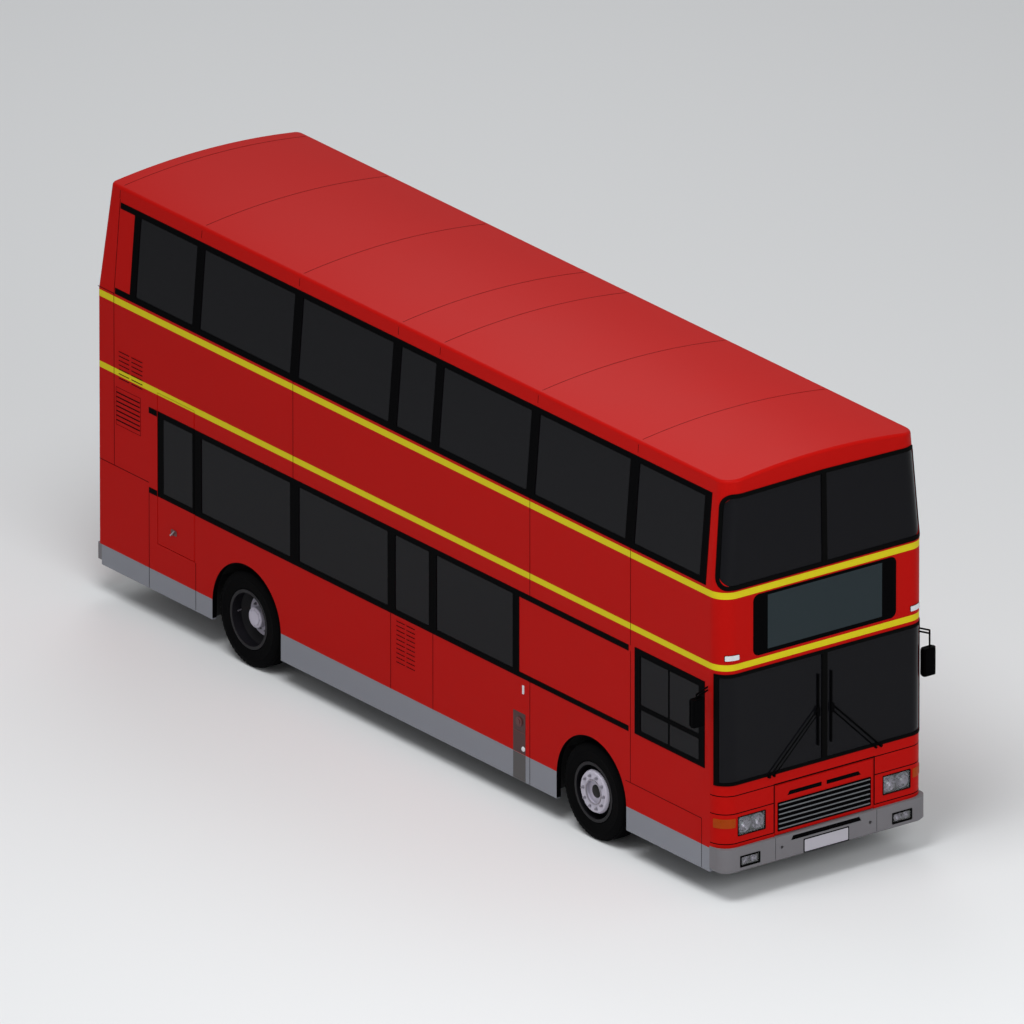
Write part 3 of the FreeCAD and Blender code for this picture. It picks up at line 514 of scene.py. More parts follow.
def ringFrame(bm, place, corners, band, thick, radius=0.0, low=0.0, step=0.0, sharp=()):
    # a frame of constant width: its outer corners are given and the inner edge is inset by band
    part = bmesh.new()
    ring = [part.verts.new((u, z, low)) for u, z in corners]
    part.faces.new(ring)
    if radius:
        rounded = [vert for index, vert in enumerate(ring) if index not in sharp]
        bmesh.ops.bevel(part, geom=rounded, offset=radius, segments=10, profile=0.5,
                        affect="VERTICES", material=-1)
    part.faces.ensure_lookup_table()
    opening = part.faces[0]
    bmesh.ops.inset_region(part, faces=[opening], thickness=band, use_even_offset=True,
                           use_boundary=True)
    bmesh.ops.delete(part, geom=[opening], context="FACES_ONLY")
    draw(part, bmesh.ops.extrude_face_region(part, geom=part.faces[:]), (0, 0, thick))
    across = [corner[0] for corner in corners]
    cutSteps(part, min(across), max(across), step)
    warp(part.verts, place)
    mergeInto(bm, part)


def mergeInto(bm, part):
    mesh = bpy.data.meshes.new("part")
    part.to_mesh(mesh)
    part.free()
    bm.from_mesh(mesh)
    bpy.data.meshes.remove(mesh)


def addBox(bm, low, high, bevel=0.0, turn=None):
    size = [high[i] - low[i] for i in range(3)]
    middle = [(high[i] + low[i]) / 2 for i in range(3)]
    matrix = Matrix.Translation(middle) @ (turn or Matrix.Identity(4)) @ Matrix.Diagonal((*size, 1))
    made = bmesh.ops.create_cube(bm, size=1.0, matrix=matrix)
    if bevel:
        edges = list({edge for vert in made["verts"] for edge in vert.link_edges})
        bmesh.ops.bevel(bm, geom=edges, offset=bevel, segments=2, profile=0.5, affect="EDGES",
                        material=-1)


def addRod(bm, start, end, radius, endRadius=None, sides=16):
    start, end = Vector(start), Vector(end)
    line = end - start
    turn = line.to_track_quat("Z", "Y").to_matrix().to_4x4()
    matrix = Matrix.Translation((start + end) / 2) @ turn
    bmesh.ops.create_cone(bm, cap_ends=True, segments=sides, radius1=radius,
                          radius2=radius if endRadius is None else endRadius, depth=line.length,
                          matrix=matrix)


def lathe(bm, points, centre, steps, axis, skin=0.0):
    part = bmesh.new()
    verts, edges = chain(part, points)
    bmesh.ops.spin(part, geom=verts + edges, cent=centre, axis=axis, angle=math.tau, steps=steps,
                   use_merge=True)
    bmesh.ops.remove_doubles(part, verts=part.verts[:], dist=0.00002)
    if skin:
        bmesh.ops.solidify(part, geom=part.faces[:], thickness=skin)
    mergeInto(bm, part)


def spun(bm, profile, centre, steps=64, axis=(0, 1, 0)):
    # the profile's points are offsets in y and z from the centre, turned about the axis
    lathe(bm, [(centre[0], centre[1] + y, centre[2] + r) for y, r in profile], centre, steps,
          axis)


# Window bands, pillars and frames

bandPlan = dict(
    proud=0.003,
    lower=dict(rear=0.84, front=8.69, sill=(1.34, 1.397), head=(2.183, 2.245)),
    upper=dict(rear=0.28, front=9.93, sill=(3.265, 3.327), head=(4.148, 4.21)),
    lowerPosts=[(3.173, 3.317), (4.773, 4.894), (5.448, 5.567), (6.813, 6.92)],
    upperPosts=[(0.52, 0.617), (1.553, 1.677), (3.163, 3.297), (4.773, 4.907), (5.473, 5.597),
                (7.023, 7.157), (8.623, 8.767), (9.823, 9.93)],
    door=(0.981, 1.572), doorHole=(0.975, 1.60), doorPane=(1.077, 1.555), noseR=0.0228,
)


def sideStrip(bm, side, x0, x1, z0, z1, thick, low=0.0, radius=0.0):
    u0, u1 = sideU(station(x1), side), sideU(station(x0), side)
    plate(bm, bodyPoint, min(u0, u1), max(u0, u1), z0, z1, thick, radius=radius, low=low)


def layBands(bm, side, runs, posts, rows, thick, low=0.0):
    # sill and head strips along each run, then the posts between them
    for x0, x1 in runs:
        for z0, z1 in (rows["sill"], rows["head"]):
            sideStrip(bm, side, x0, x1, z0, z1, thick, low=low)
    for x0, x1 in posts:
        sideStrip(bm, side, x0, x1, rows["sill"][1], rows["head"][0], thick, low=low)


def addBands():
    plan = bandPlan
    low, up = plan["lower"], plan["upper"]
    lowBand, upBand = bmesh.new(), bmesh.new()
    for side in (-1, 1):
        layBands(upBand, side, [(up["rear"], up["front"])], plan["upperPosts"], up,
                 plan["proud"])
        runs = [(low["rear"], plan["doorHole"][0]), (plan["doorHole"][1], low["front"])]
        posts = plan["lowerPosts"] + [(1.60, 1.707)]
        if side > 0:
            runs = [(low["rear"], low["front"])]
            posts = plan["lowerPosts"] + [(0.97, 1.077), (1.568, 1.707), (7.02, 7.157),
                                          (8.623, 8.69)]
        layBands(lowBand, side, runs, posts, low, plan["proud"])
    newPiece("lowerWindowBands", lowBand, bandBlack)
    newPiece("upperWindowBands", upBand, bandBlack)
    doorBand = bmesh.new()
    # the door's face sits 3 mm back and its hinge edge is round
    x0, x1 = plan["door"]
    layBands(doorBand, -1, [(x0, x1)], [(x0, plan["doorPane"][0]), (plan["doorPane"][1], x1)],
             low, 0.0015, low=-0.0032)
    nose = bmesh.new()
    turns = [math.radians(-90 + 15 * step) for step in range(7)]
    edges = chain(nose, [(station(x1) + plan["noseR"] * math.cos(turn),
                          -sideY + 0.025 + plan["noseR"] * math.sin(turn), low["sill"][0])
                         for turn in turns])[1]
    draw(nose, bmesh.ops.extrude_edge_only(nose, edges=edges),
         (0, 0, low["head"][1] - low["sill"][0]))
    bmesh.ops.solidify(nose, geom=nose.faces[:], thickness=0.0008)
    mergeInto(doorBand, nose)
    newPiece("emergencyDoorBands", doorBand, bandBlack, body="emergency_door_body")


driverFrame = dict(outer=(8.79, 9.92, 1.35, 2.255), glass=(8.877, 9.823, 1.397, 2.183),
                   rail=(1.625, 1.675), divider=9.335, dividerHalf=0.008, proud=0.004)


def addDriverWindow():
    plan = driverFrame
    bm = bmesh.new()
    rear, front, sill, head = plan["outer"]
    x0, x1, z0, z1 = plan["glass"]
    for edges in ((rear, front, sill, z0), (rear, front, z1, head), (rear, x0, z0, z1),
                  (x1, front, z0, z1)):
        sideStrip(bm, -1, *edges, plan["proud"])
    sideStrip(bm, -1, x0, x1, *plan["rail"], 0.006, low=-0.0039)
    for low, high in ((z0, plan["rail"][0]), (plan["rail"][1], z1)):
        sideStrip(bm, -1, plan["divider"] - plan["dividerHalf"],
                  plan["divider"] + plan["dividerHalf"], low, high, 0.005, low=-0.0039)
    newPiece("driverWindowFrame", bm, bandBlack)


addBands()
addDriverWindow()


# Windscreen rubbers and the destination sign

screenPlan = dict(
    lowerZ=(1.215, 2.38), lowerWrap=74.0, glassWrap=57.5, lowerBand=0.03, headBand=0.037,
    barHalf=0.032, proud=0.007, lip=0.008,
    upperGlass=(3.29, 4.217), upperWrap=61.0, upperDrop=0.02, upperBand=0.036,
    upperRadius=0.14,
)


def addScreenRubbers():
    plan = screenPlan
    bm = bmesh.new()
    z0, z1 = plan["lowerZ"]
    far, glassEnd = wrapU(plan["lowerWrap"]), wrapU(plan["glassWrap"])
    sill, head = z0 + plan["lowerBand"], z1 - plan["headBand"]
    for side in (-1, 1):
        flip = mirrored(bodyPoint, side)
        plate(bm, flip, 0.0, far, z0, sill, plan["proud"], step=0.03)
        plate(bm, flip, 0.0, far, head, z1, plan["proud"], step=0.03)
        plate(bm, flip, glassEnd, far, sill, head, plan["proud"], step=0.03)
        plate(bm, flip, 0.0, plan["barHalf"], sill, head, plan["proud"])
    newPiece("lowerScreenRubber", bm, sealRubber, smooth=True)
    bm = bmesh.new()
    low, high = plan["upperGlass"]
    band = plan["upperBand"]
    edge = wrapU(plan["upperWrap"]) + band
    corners = [(-edge, low - band), (edge, low - band),
               (edge, high - plan["upperDrop"] + band), (0.0, high + band),
               (-edge, high - plan["upperDrop"] + band)]
    ringFrame(bm, bodyPoint, corners, band + plan["lip"], plan["proud"],
              radius=plan["upperRadius"], step=0.03, sharp=(3,))
    plate(bm, bodyPoint, -plan["barHalf"], plan["barHalf"], low, high, plan["proud"] - 0.001)
    newPiece("upperScreenRubber", bm, sealRubber, smooth=True)


signPlan = dict(half=0.87, bottom=2.509, top=3.149, radius=0.07, glassHalf=0.695,
                glassBottom=2.555, glassTop=3.118, maskLow=-0.005, maskThick=0.008)


def addSign():
    plan = signPlan
    mask = bmesh.new()
    plate(mask, nosePoint, -plan["half"], plan["half"], plan["bottom"], plan["top"],
          plan["maskThick"], radius=plan["radius"], low=plan["maskLow"])
    newPiece("signMask", mask, bandBlack)
    pane = bmesh.new()
    plate(pane, nosePoint, -plan["glassHalf"], plan["glassHalf"], plan["glassBottom"],
          plan["glassTop"], 0.002, low=plan["maskLow"] + plan["maskThick"], radius=0.004)
    newPiece("signPane", pane, signPaneFinish)


signPaneFinish = finish("signPaneTeal", (33, 43, 47), roughness=0.25, tone=0.1, bump=0.0,
                        Specular_IOR_Level=0.12)
addScreenRubbers()
addSign()
print("windows framed")


# Grille, lamps and bumper

def addSeams():
    # shadow lines where panels meet
    plan = dict(width=0.0065, thick=0.0008)
    half, thick = plan["width"] / 2, plan["thick"]
    bm = bmesh.new()

    def upright(side, x, z0, z1):
        # the wall bends at leanZ, so the line is in two lengths there
        bend = min(max(leanZ, z0), z1)
        for low, high in ((z0, bend), (bend, z1)):
            if high > low:
                sideStrip(bm, side, x - half, x + half, low, high, thick)

    def level(side, x0, x1, z):
        sideStrip(bm, side, x0, x1, z - half, z + half, thick)

    for side in (-1, 1):
        # station, bottom, top
        for x, z0, z1 in ((0.265, 1.445, 4.24), (0.84, 0.33, 1.34), (3.22, 2.245, 3.265),
                          (7.09, 2.245, 3.265), (8.72, 2.25, 3.265)):
            upright(side, x, z0, z1)
        level(side, 0.02, 0.84, 1.445)
        level(side, 0.0, 0.27, 3.262)
    for x, z0, z1 in ((1.61, 0.335, 0.835), (4.82, 0.54, 1.34), (5.51, 0.54, 1.34),
                      (7.09, 0.26, 1.34), (8.72, 0.81, 2.19), (9.87, 0.295, 0.81)):
        upright(-1, x, z0, z1)
    level(-1, 8.64, 9.87, 0.81)
    newPiece("panelSeams", bm, bandBlack)
    nose = bmesh.new()
    edge = wrapU(88)
    wide = half * 1.5
    for z, reach in ((1.105, edge), (0.915, edge), (0.605, edge)):
        for side in (-1, 1):
            inner = 0.608 if z < 1.0 else 0.0
            plate(nose, mirrored(bodyPoint, side), inner, reach, z - wide, z + wide, thick,
                  step=0.03)
    newPiece("frontSeams", nose, bandBlack)


roofSeamStations = (0.257, 1.607, 3.217, 4.837, 5.517, 7.107, 8.727)


def addRoofSeams():
    # cross joints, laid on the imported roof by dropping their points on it
    plan = dict(width=0.005, thick=0.0012, columns=72)
    roofTree = nodes["roof"]
    bm = bmesh.new()
    for along in roofSeamStations:
        strip = bmesh.new()
        x = station(along)
        made = bmesh.ops.create_grid(strip, x_segments=1, y_segments=plan["columns"], size=0.5)
        lost = []
        for vert in made["verts"]:
            angle = (vert.co.y * 2) * math.radians(88)
            direction = Vector((0, math.sin(angle), math.cos(angle)))
            start = Vector((x, 0, roofBox[0][2] - 0.9)) + direction * 4
            hit, spot, normal, index = roofTree.ray_cast(start, -direction)
            if not hit:
                lost.append(vert)
                continue
            vert.co = Vector((x + vert.co.x * plan["width"], spot.y, spot.z))
            vert.co += Vector((0, normal.y, normal.z)).normalized() * plan["thick"]
        bmesh.ops.delete(strip, geom=lost, context="VERTS")
        mergeInto(bm, strip)
    for face in bm.faces:
        if face.normal.z < 0:
            face.normal_flip()
    bmesh.ops.solidify(bm, geom=bm.faces[:], thickness=plan["thick"])
    newPiece("roofSeams", bm, sealRubber)


grillePlan = dict(half=0.566, bottom=0.609, top=0.907, pitch=0.05, slats=6, slatHeight=0.012,
                  slotInner=0.031, slotOuter=0.448, slot=(0.959, 1.001), slant=0.03, frame=0.006)


def addGrille():
    plan = grillePlan
    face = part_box("grille_flap")[1][0]
    black, slats = bmesh.new(), bmesh.new()
    onFlap = square(face)
    plate(black, onFlap, -plan["half"], plan["half"], plan["bottom"], plan["top"], 0.0012,
          radius=0.006)
    ringFrame(black, onFlap,
              rectangle(-plan["half"], plan["half"], plan["bottom"], plan["top"]),
              plan["frame"], 0.009, radius=0.006)
    for index in range(plan["slats"]):
        z = plan["bottom"] + plan["pitch"] * (index + 0.5)
        addBox(slats, (face + 0.001, -plan["half"] + 0.01, z - plan["slatHeight"] / 2),
               (face + 0.012, plan["half"] - 0.01, z + plan["slatHeight"] / 2), bevel=0.003)
    for side in (-1, 1):
        part = bmesh.new()
        inner, outer = plan["slotInner"], plan["slotOuter"]
        low, high = plan["slot"]
        points = [(inner, low), (outer, low), (outer - plan["slant"], high), (inner, high)]
        ring = [part.verts.new((side * y, z, 0.0)) for y, z in points]
        lift = bmesh.ops.extrude_face_region(part, geom=[part.faces.new(ring)])
        draw(part, lift, (0, 0, 0.0012))
        warp(part.verts, onFlap)
        mergeInto(black, part)
    newPiece("grilleOpenings", black, bandBlack, body="grille_flap_body")
    newPiece("grilleSlats", slats, grilleGrey, body="grille_flap_body", smooth=True)


grilleGrey = finish("grilleGrey", (96, 98, 102), roughness=0.45, tone=0.1, bump=0.1)
amberLens = finish("amberLens", (160, 62, 4), roughness=0.3, tone=0.3, bump=0.0,
                   patchScale=14.0, Specular_IOR_Level=0.1)
redLens = finish("redLens", (150, 14, 12), roughness=0.15, tone=0.12, bump=0.0,
                 Coat_Weight=0.6)
lensGlass = tintedGlass("lensGlass", (235, 238, 240), clear=0.95)
reflector = finish("lampReflector", (148, 140, 152), roughness=0.28, tone=1.4, bump=0.6,
                   patchScale=38.0, grainScale=60.0, grainDepth=0.004, Metallic=0.6)
plateWhite = finish("plateWhite", (168, 165, 174), roughness=0.4, tone=0.05)
whiteLens = finish("whiteLens", (205, 207, 212), roughness=0.2, tone=0.2, bump=0.0,
                   Coat_Weight=0.5, patchScale=40.0)

headPlan = dict(inner=0.713, outer=1.053, bottom=0.674, top=0.876, frame=0.01, wall=0.004,
                bowlDepth=0.06, bowlRadius=0.082, bowls=(0.80, 0.965), bulbRadius=0.012)


def bowl(bm, centre, radius, depth):
    # a lamp's reflector: a dish open towards the front
    reaches = [radius * index / 7 for index in range(8)]
    lathe(bm, [(centre[0] - depth + depth * (r / radius) ** 2, centre[1], centre[2] + r)
               for r in reaches], centre, 32, (1, 0, 0), skin=0.002)


def addHeadlamps():
    plan = headPlan
    onNose = square(noseX)
    cases, bowls, panes, bulbs = bmesh.new(), bmesh.new(), bmesh.new(), bmesh.new()
    for side in (-1, 1):
        y0, y1 = sorted((side * plan["inner"], side * plan["outer"]))
        outline = (y0, y1, plan["bottom"], plan["top"])
        inside = within(*outline, 0.002)
        ringFrame(cases, onNose, rectangle(*outline), plan["frame"], 0.034, radius=0.012,
                  low=-0.03)
        plate(cases, onNose, *inside, 0.004, low=-0.088)
        for a, b, c, d in borders(*inside, plan["wall"]):
            addBox(cases, (noseX - 0.085, a, c), (noseX - 0.002, b, d))
        middle = (plan["bottom"] + plan["top"]) / 2
        for y in plan["bowls"]:
            bowl(bowls, (noseX - 0.018, side * y, middle), plan["bowlRadius"], plan["bowlDepth"])
            addRod(bulbs, (noseX - 0.076, side * y, middle), (noseX - 0.04, side * y, middle),
                   plan["bulbRadius"])
        plate(bowls, onNose, *within(*outline, 0.008), 0.002, low=-0.083)
        plate(panes, onNose, *within(*outline, plan["frame"]), 0.003, low=-0.006, radius=0.008)
    housing = newPiece("headlampCases", cases, sealRubber)
    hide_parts("lamps")
    newPiece("headlampBowls", bowls, reflector, smooth=True)
    newPiece("headlampPanes", panes, lensGlass)
    newPiece("headlampBulbs", bulbs, whiteLens, smooth=True)


turnPlan = dict(inner=1.08, wrap=75.0, bottom=0.772, top=0.865, proud=0.004, ribs=9)


def addTurnLamps():
    plan = turnPlan
    bm = bmesh.new()
    start = cornerStart + cornerR * math.asin((plan["inner"] - cornerStart) / cornerR)
    end = wrapU(plan["wrap"])
    for side in (-1, 1):
        flip = mirrored(bodyPoint, side)
        plate(bm, flip, start, end, plan["bottom"], plan["top"], plan["proud"] + 0.02,
              low=-0.02, step=0.015, radius=0.008)
        for index in range(plan["ribs"]):
            z = plan["bottom"] + (plan["top"] - plan["bottom"]) * (index + 0.5) / plan["ribs"]
            plate(bm, flip, start + 0.006, end - 0.006, z - 0.002, z + 0.002, 0.0015,
                  low=plan["proud"], step=0.02)
    newPiece("turnLamps", bm, amberLens, smooth=True)


markerPlan = dict(lamp=(1.045, 1.18, 2.525, 2.575), proud=0.012)


def addMarkerLamps():
    plan = markerPlan
    inner, outer, bottom, top = plan["lamp"]
    bm, base = bmesh.new(), bmesh.new()
    for side in (-1, 1):
        flip = mirrored(nosePoint, side)
        plate(base, flip, *within(*plan["lamp"], -0.004), 0.004, step=0.012, radius=0.004)
        plate(bm, flip, *plan["lamp"], plan["proud"] - 0.004, low=0.004, step=0.012,
              radius=0.006)
        for index in range(6):
            y = inner + (outer - inner) * (index + 0.5) / 6
            plate(bm, flip, y - 0.002, y + 0.002, bottom + 0.006, top - 0.006, 0.0015,
                  low=plan["proud"])
    newPiece("markerLampBases", base, sealRubber)
    newPiece("markerLamps", bm, whiteLens, smooth=True)


bumperPlan = dict(seamY=0.617, plateHalf=0.265, plate=(0.335, 0.46), fogInner=0.804,
                  fogOuter=1.049, fog=(0.357, 0.476),
                  plateEdge=0.012, fogFrame=0.016, bowl=(0.052, 0.036, 0.03),
                  slot=(0.428, 0.404, 0.492, 0.538))


def addBumperFittings():
    plan = bumperPlan
    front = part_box("bumpers")[1][0]
    onBumper = square(front)
    plateMesh, trim, panes, bowls = bmesh.new(), bmesh.new(), bmesh.new(), bmesh.new()
    plate(plateMesh, onBumper, -plan["plateHalf"], plan["plateHalf"], *plan["plate"], 0.0015,
          radius=0.01, low=0.0025)
    edge = plan["plateEdge"]
    plate(trim, onBumper, *within(-plan["plateHalf"], plan["plateHalf"], *plan["plate"], -edge),
          0.0025, radius=0.008)
    backing = bmesh.new()
    wide, narrow = plan["slot"][0], plan["slot"][1]
    ring = [backing.verts.new(onBumper(y, z, -0.006)) for y, z in (
        (-wide, plan["slot"][2]), (wide, plan["slot"][2]), (narrow, plan["slot"][3]),
        (-narrow, plan["slot"][3]))]
    bmesh.ops.solidify(backing, geom=[backing.faces.new(ring)], thickness=0.002)
    newPiece("bumperSlotBacking", backing, bandBlack)
    for side in (-1, 1):
        plate(trim, onBumper, side * plan["seamY"] - 0.002, side * plan["seamY"] + 0.002, 0.335,
              0.562, 0.0006)
        y0, y1 = sorted((side * plan["fogInner"], side * plan["fogOuter"]))
        fog = (y0, y1, *plan["fog"])
        ringFrame(trim, onBumper, rectangle(*fog), plan["fogFrame"], 0.034, radius=0.012,
                  low=-0.03)
        middle = sum(plan["fog"]) / 2
        apart, radius, depth = plan["bowl"]
        for offset in (-apart, apart):
            bowl(bowls, (front - 0.014, (y0 + y1) / 2 + offset, middle), radius, depth)
        plate(bowls, onBumper, *within(*fog, 0.02), 0.003, low=-0.05)
        plate(panes, onBumper, *within(*fog, 0.018), 0.003, low=-0.008, radius=0.006)
    newPiece("numberPlateBlank", plateMesh, plateWhite)
    newPiece("bumperTrim", trim, sealRubber)
    newPiece("fogLampBowls", bowls, reflector, smooth=True)
    newPiece("fogLampPanes", panes, lensGlass)


def addArchLiners():
    # black lining round each wheel opening
    plan = dict(radius=0.565, rise=0.515, legs={2.45: (0.338, 0.262), 8.09: (0.262, 0.285)},
                skin=0.0008, deep=0.052, steps=40)
    liners = bmesh.new()
    for axle, (rearLeg, frontLeg) in plan["legs"].items():
        for side in (-1, 1):
            part = bmesh.new()
            path = [(-plan["radius"], rearLeg)]
            path += [(-plan["radius"] * math.cos(math.pi * step / plan["steps"]),
                      plan["rise"] + plan["radius"] * math.sin(math.pi * step / plan["steps"]))
                     for step in range(plan["steps"] + 1)]
            path.append((plan["radius"], frontLeg))
            edges = chain(part, [(station(axle + x), side * (sideY + 0.0006), z)
                                 for x, z in path])[1]
            draw(part, bmesh.ops.extrude_edge_only(part, edges=edges),
                 (0, -side * plan["deep"], 0))
            bmesh.ops.recalc_face_normals(part, faces=part.faces[:])
            bmesh.ops.solidify(part, geom=part.faces[:], thickness=plan["skin"] * 2)
            mergeInto(liners, part)
    newPiece("archLiners", liners, bandBlack)


def addFlapOutline():
    # the dark gap round the lift-up grille panel, on the fixed front
    plan = dict(half=0.605, bottom=0.606, top=1.105, width=0.011, thick=0.0012)
    bm = bmesh.new()
    for side in (-1, 1):
        y0, y1 = sorted((side * plan["half"], side * (plan["half"] + plan["width"])))
        plate(bm, bodyPoint, y0, y1, plan["bottom"], plan["top"], plan["thick"])
    plate(bm, bodyPoint, -plan["half"] - plan["width"], plan["half"] + plan["width"], plan["top"],
          plan["top"] + plan["width"] * 0.8, plan["thick"], step=0.05)
    newPiece("flapOutline", bm, bandBlack)


addSeams()
addArchLiners()
addFlapOutline()
addRoofSeams()
addGrille()
addHeadlamps()
addTurnLamps()
addMarkerLamps()
addBumperFittings()
print("front fittings made")


# Wheels and tyres

wheelR = 0.5
rearAxleX, frontAxleX = station(2.45), station(8.09)
tyreOuter = sideY - 0.015
tyrePlan = dict(width=0.28, radius=wheelR, seat=0.2868, grooves=(-0.068, -0.023, 0.023, 0.068),
                grooveWidth=0.011, grooveDepth=0.013, twin=0.595, sipes=60, nuts=10,
                nutCircle=0.1675, rearNutCircle=0.150)


def tyreShape(bm, centreX, inner, sign):
    # half the outline runs from the bead over the shoulder; the tread is grooved all round
    plan = tyrePlan
    half, seat, outer = plan["width"] / 2, plan["seat"], plan["radius"]
    wall = [(-half + 0.02, seat), (-half + 0.02, seat + 0.022), (-half + 0.01, seat + 0.029),
            (-half + 0.004, 0.34), (-half, 0.37), (-half, 0.41), (-half - 0.0015, 0.413),
            (-half - 0.0015, 0.419), (-half, 0.422), (-half + 0.006, 0.449),
            (-half + 0.014, 0.468), (-half + 0.022, 0.479), (-half + 0.034, 0.4895),
            (-half + 0.05, 0.4965), (-half + 0.062, outer - 0.001)]
    tread = []
    for groove in plan["grooves"]:
        w, d = plan["grooveWidth"] / 2, plan["grooveDepth"]
        tread += [(groove - w, outer), (groove - w * 0.6, outer - d), (groove + w * 0.6, outer - d),
                  (groove + w, outer)]
    other = [(-y, r) for y, r in reversed(wall)]
    spun(bm, [(sign * (inner + half + y), r) for y, r in wall + tread + other],
         (centreX, 0, wheelR), steps=120)


def treadBlocks(bm, centreX, inner, sign):
    # short raised bars on the tyre's shoulder
    plan = tyrePlan
    half = plan["width"] / 2
    for edge in (-1, 1):
        y = sign * (inner + half + edge * (half - 0.043))
        for index in range(plan["sipes"]):
            turn = math.tau * index / plan["sipes"]
            matrix = (Matrix.Translation((centreX, 0, wheelR)) @ Matrix.Rotation(turn, 4, "Y")
                      @ Matrix.Translation((0, y, plan["radius"] - 0.0125))
                      @ Matrix.Rotation(-sign * edge * math.radians(18), 4, "X")
                      @ Matrix.Diagonal((0.03, 0.036, 0.010, 1)))
            bmesh.ops.create_cube(bm, size=1.0, matrix=matrix)


def ringOfNuts(bm, centreX, y, sign, circle, count, across, height):
    for index in range(count):
        turn = math.tau * (index + 0.5) / count
        x, z = centreX + circle * math.sin(turn), wheelR + circle * math.cos(turn)
        addRod(bm, (x, y, z), (x, y + sign * 0.004, z), across * 0.62, sides=20)
        addRod(bm, (x, y, z), (x, y + sign * height, z), across * 0.5, sides=6)
        addRod(bm, (x, y, z), (x, y + sign * (height + 0.010), z), across * 0.24, sides=12)


def wheelPiece(end, label, side, bm, material):
    return newPiece(end + label + side.title(), bm, material,
                    body=end + "_wheel_" + side + "_body", smooth=True)


def addTyre(bm, axleX, offset, sign):
    tyreShape(bm, axleX, tyreOuter - offset, sign)
    treadBlocks(bm, axleX, tyreOuter - offset, sign)


def addTyres():
    for side, sign in (("left", 1), ("right", -1)):
        bm = bmesh.new()
        addTyre(bm, frontAxleX, tyrePlan["width"], sign)
        tyre = wheelPiece("front", "Tyre", side, bm, tyreRubber)
        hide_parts("front_tyre_" + side)
        bm = bmesh.new()
        for offset in (tyrePlan["width"], tyrePlan["twin"]):
            addTyre(bm, rearAxleX, offset, sign)
        twin = wheelPiece("rear", "Tyres", side, bm, tyreRubber)
        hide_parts("rear_tyres_" + side)


def addValve(end, side, start, along):
    bm = bmesh.new()
    addRod(bm, start, start + Vector(along), 0.006, sides=12)
    wheelPiece(end, "Valve", side, bm, wheelSteel)


def addWheelDetails():
    plan = tyrePlan
    frontFace = tyreOuter - plan["width"] + 0.270  # the front disc's outer face
    rearFace = tyreOuter - 0.190                  # the rear disc's face, deep in the dish
    for side, sign in (("left", 1), ("right", -1)):
        nuts, cap = bmesh.new(), bmesh.new()
        ringOfNuts(nuts, frontAxleX, sign * (frontFace - 0.003), sign, plan["nutCircle"],
                   plan["nuts"], 0.030, 0.022)
        spun(nuts, [(sign * (frontFace + y), r) for y, r in (
            (-0.004, 0.128), (0.006, 0.128), (0.006, 0.116), (-0.004, 0.116))],
             (frontAxleX, 0, wheelR), steps=64)
        wheelPiece("front", "Nuts", side, nuts, wheelSteel)
        hub = frontFace - 0.045
        spun(cap, [(sign * (hub + y), r) for y, r in (
            (0.0, 0.0), (0.022, 0.0), (0.020, 0.050), (0.012, 0.066), (0.0, 0.070))],
             (frontAxleX, 0, wheelR), steps=48)
        wheelPiece("front", "HubCap", side, cap, moulding)
        turn = math.radians(20)
        addValve("front", side, Vector((frontAxleX + 0.235 * math.sin(turn),
                                        sign * (frontFace - 0.046),
                                        wheelR + 0.235 * math.cos(turn))), (0, sign * 0.035, 0))
        nuts, cap = bmesh.new(), bmesh.new()
        ringOfNuts(nuts, rearAxleX, sign * (rearFace - 0.003), sign, plan["rearNutCircle"],
                   plan["nuts"], 0.030, 0.022)
        y = sign * (tyreOuter - 0.092)
        for index in range(8):
            turn = math.tau * index / 8
            x, z = rearAxleX + 0.083 * math.sin(turn), wheelR + 0.083 * math.cos(turn)
            addRod(nuts, (x, y - sign * 0.004, z), (x, y + sign * 0.008, z), 0.009, sides=6)
        wheelPiece("rear", "Nuts", side, nuts, wheelSteel)
        hub = tyreOuter - 0.0835
        spun(cap, [(sign * (hub + y), r) for y, r in (
            (0.0, 0.0), (0.008, 0.0), (0.008, 0.070), (0.003, 0.076), (0.0, 0.076))],
             (rearAxleX, 0, wheelR), steps=48)
        wheelPiece("rear", "HubCap", side, cap, rearWheelPaint)
        addValve("rear", side, Vector((rearAxleX - 0.262, sign * (tyreOuter - 0.115), wheelR)),
                 (0.01, sign * 0.05, 0))


wheelSteel = finish("wheelSteel", (150, 147, 156), roughness=0.35, tone=0.15, bump=0.08,
                    grainScale=300.0, Metallic=0.6)
addTyres()
addWheelDetails()
print("tyres and wheel fittings ready")


# Vents, hatches and small fittings on the offside

offsidePlan = dict(
    # columns, rows, lowest row, pitch and height of each set
    louvres=((((0.345, 0.515), (0.555, 0.735)), 7, 2.39, 0.0467, 0.017),
             (((0.305, 0.69),), 7, 1.935, 0.049, 0.024),
             (((4.915, 5.05), (5.08, 5.215)), 10, 0.85, 0.0478, 0.016)),
    louvreBox=(0.295, 0.705, 1.89, 2.29), seam=0.004,
    filler=(6.82, 7.02, 0.545, 0.97), fillerLow=(6.82, 7.02, 0.258, 0.537),
    # the white strip after the filler line is a painted highlight, not a lamp
    fillerCap=(6.92, 0.87, 0.05), fillerLine=0.76, glintStrip=(6.975, 7.0, 1.18, 1.27),
    lever=(1.25, 1.04), proud=0.0015,
)


def louvreRow(dark, hoods, x0, x1, z, height):
    # a dark slot under a small pressed hood
    sideStrip(dark, -1, x0, x1, z, z + height * 0.62, 0.0022)
    sideStrip(hoods, -1, x0 - 0.004, x1 + 0.004, z + height * 0.6, z + height * 0.95, 0.0035,
              low=-0.001)


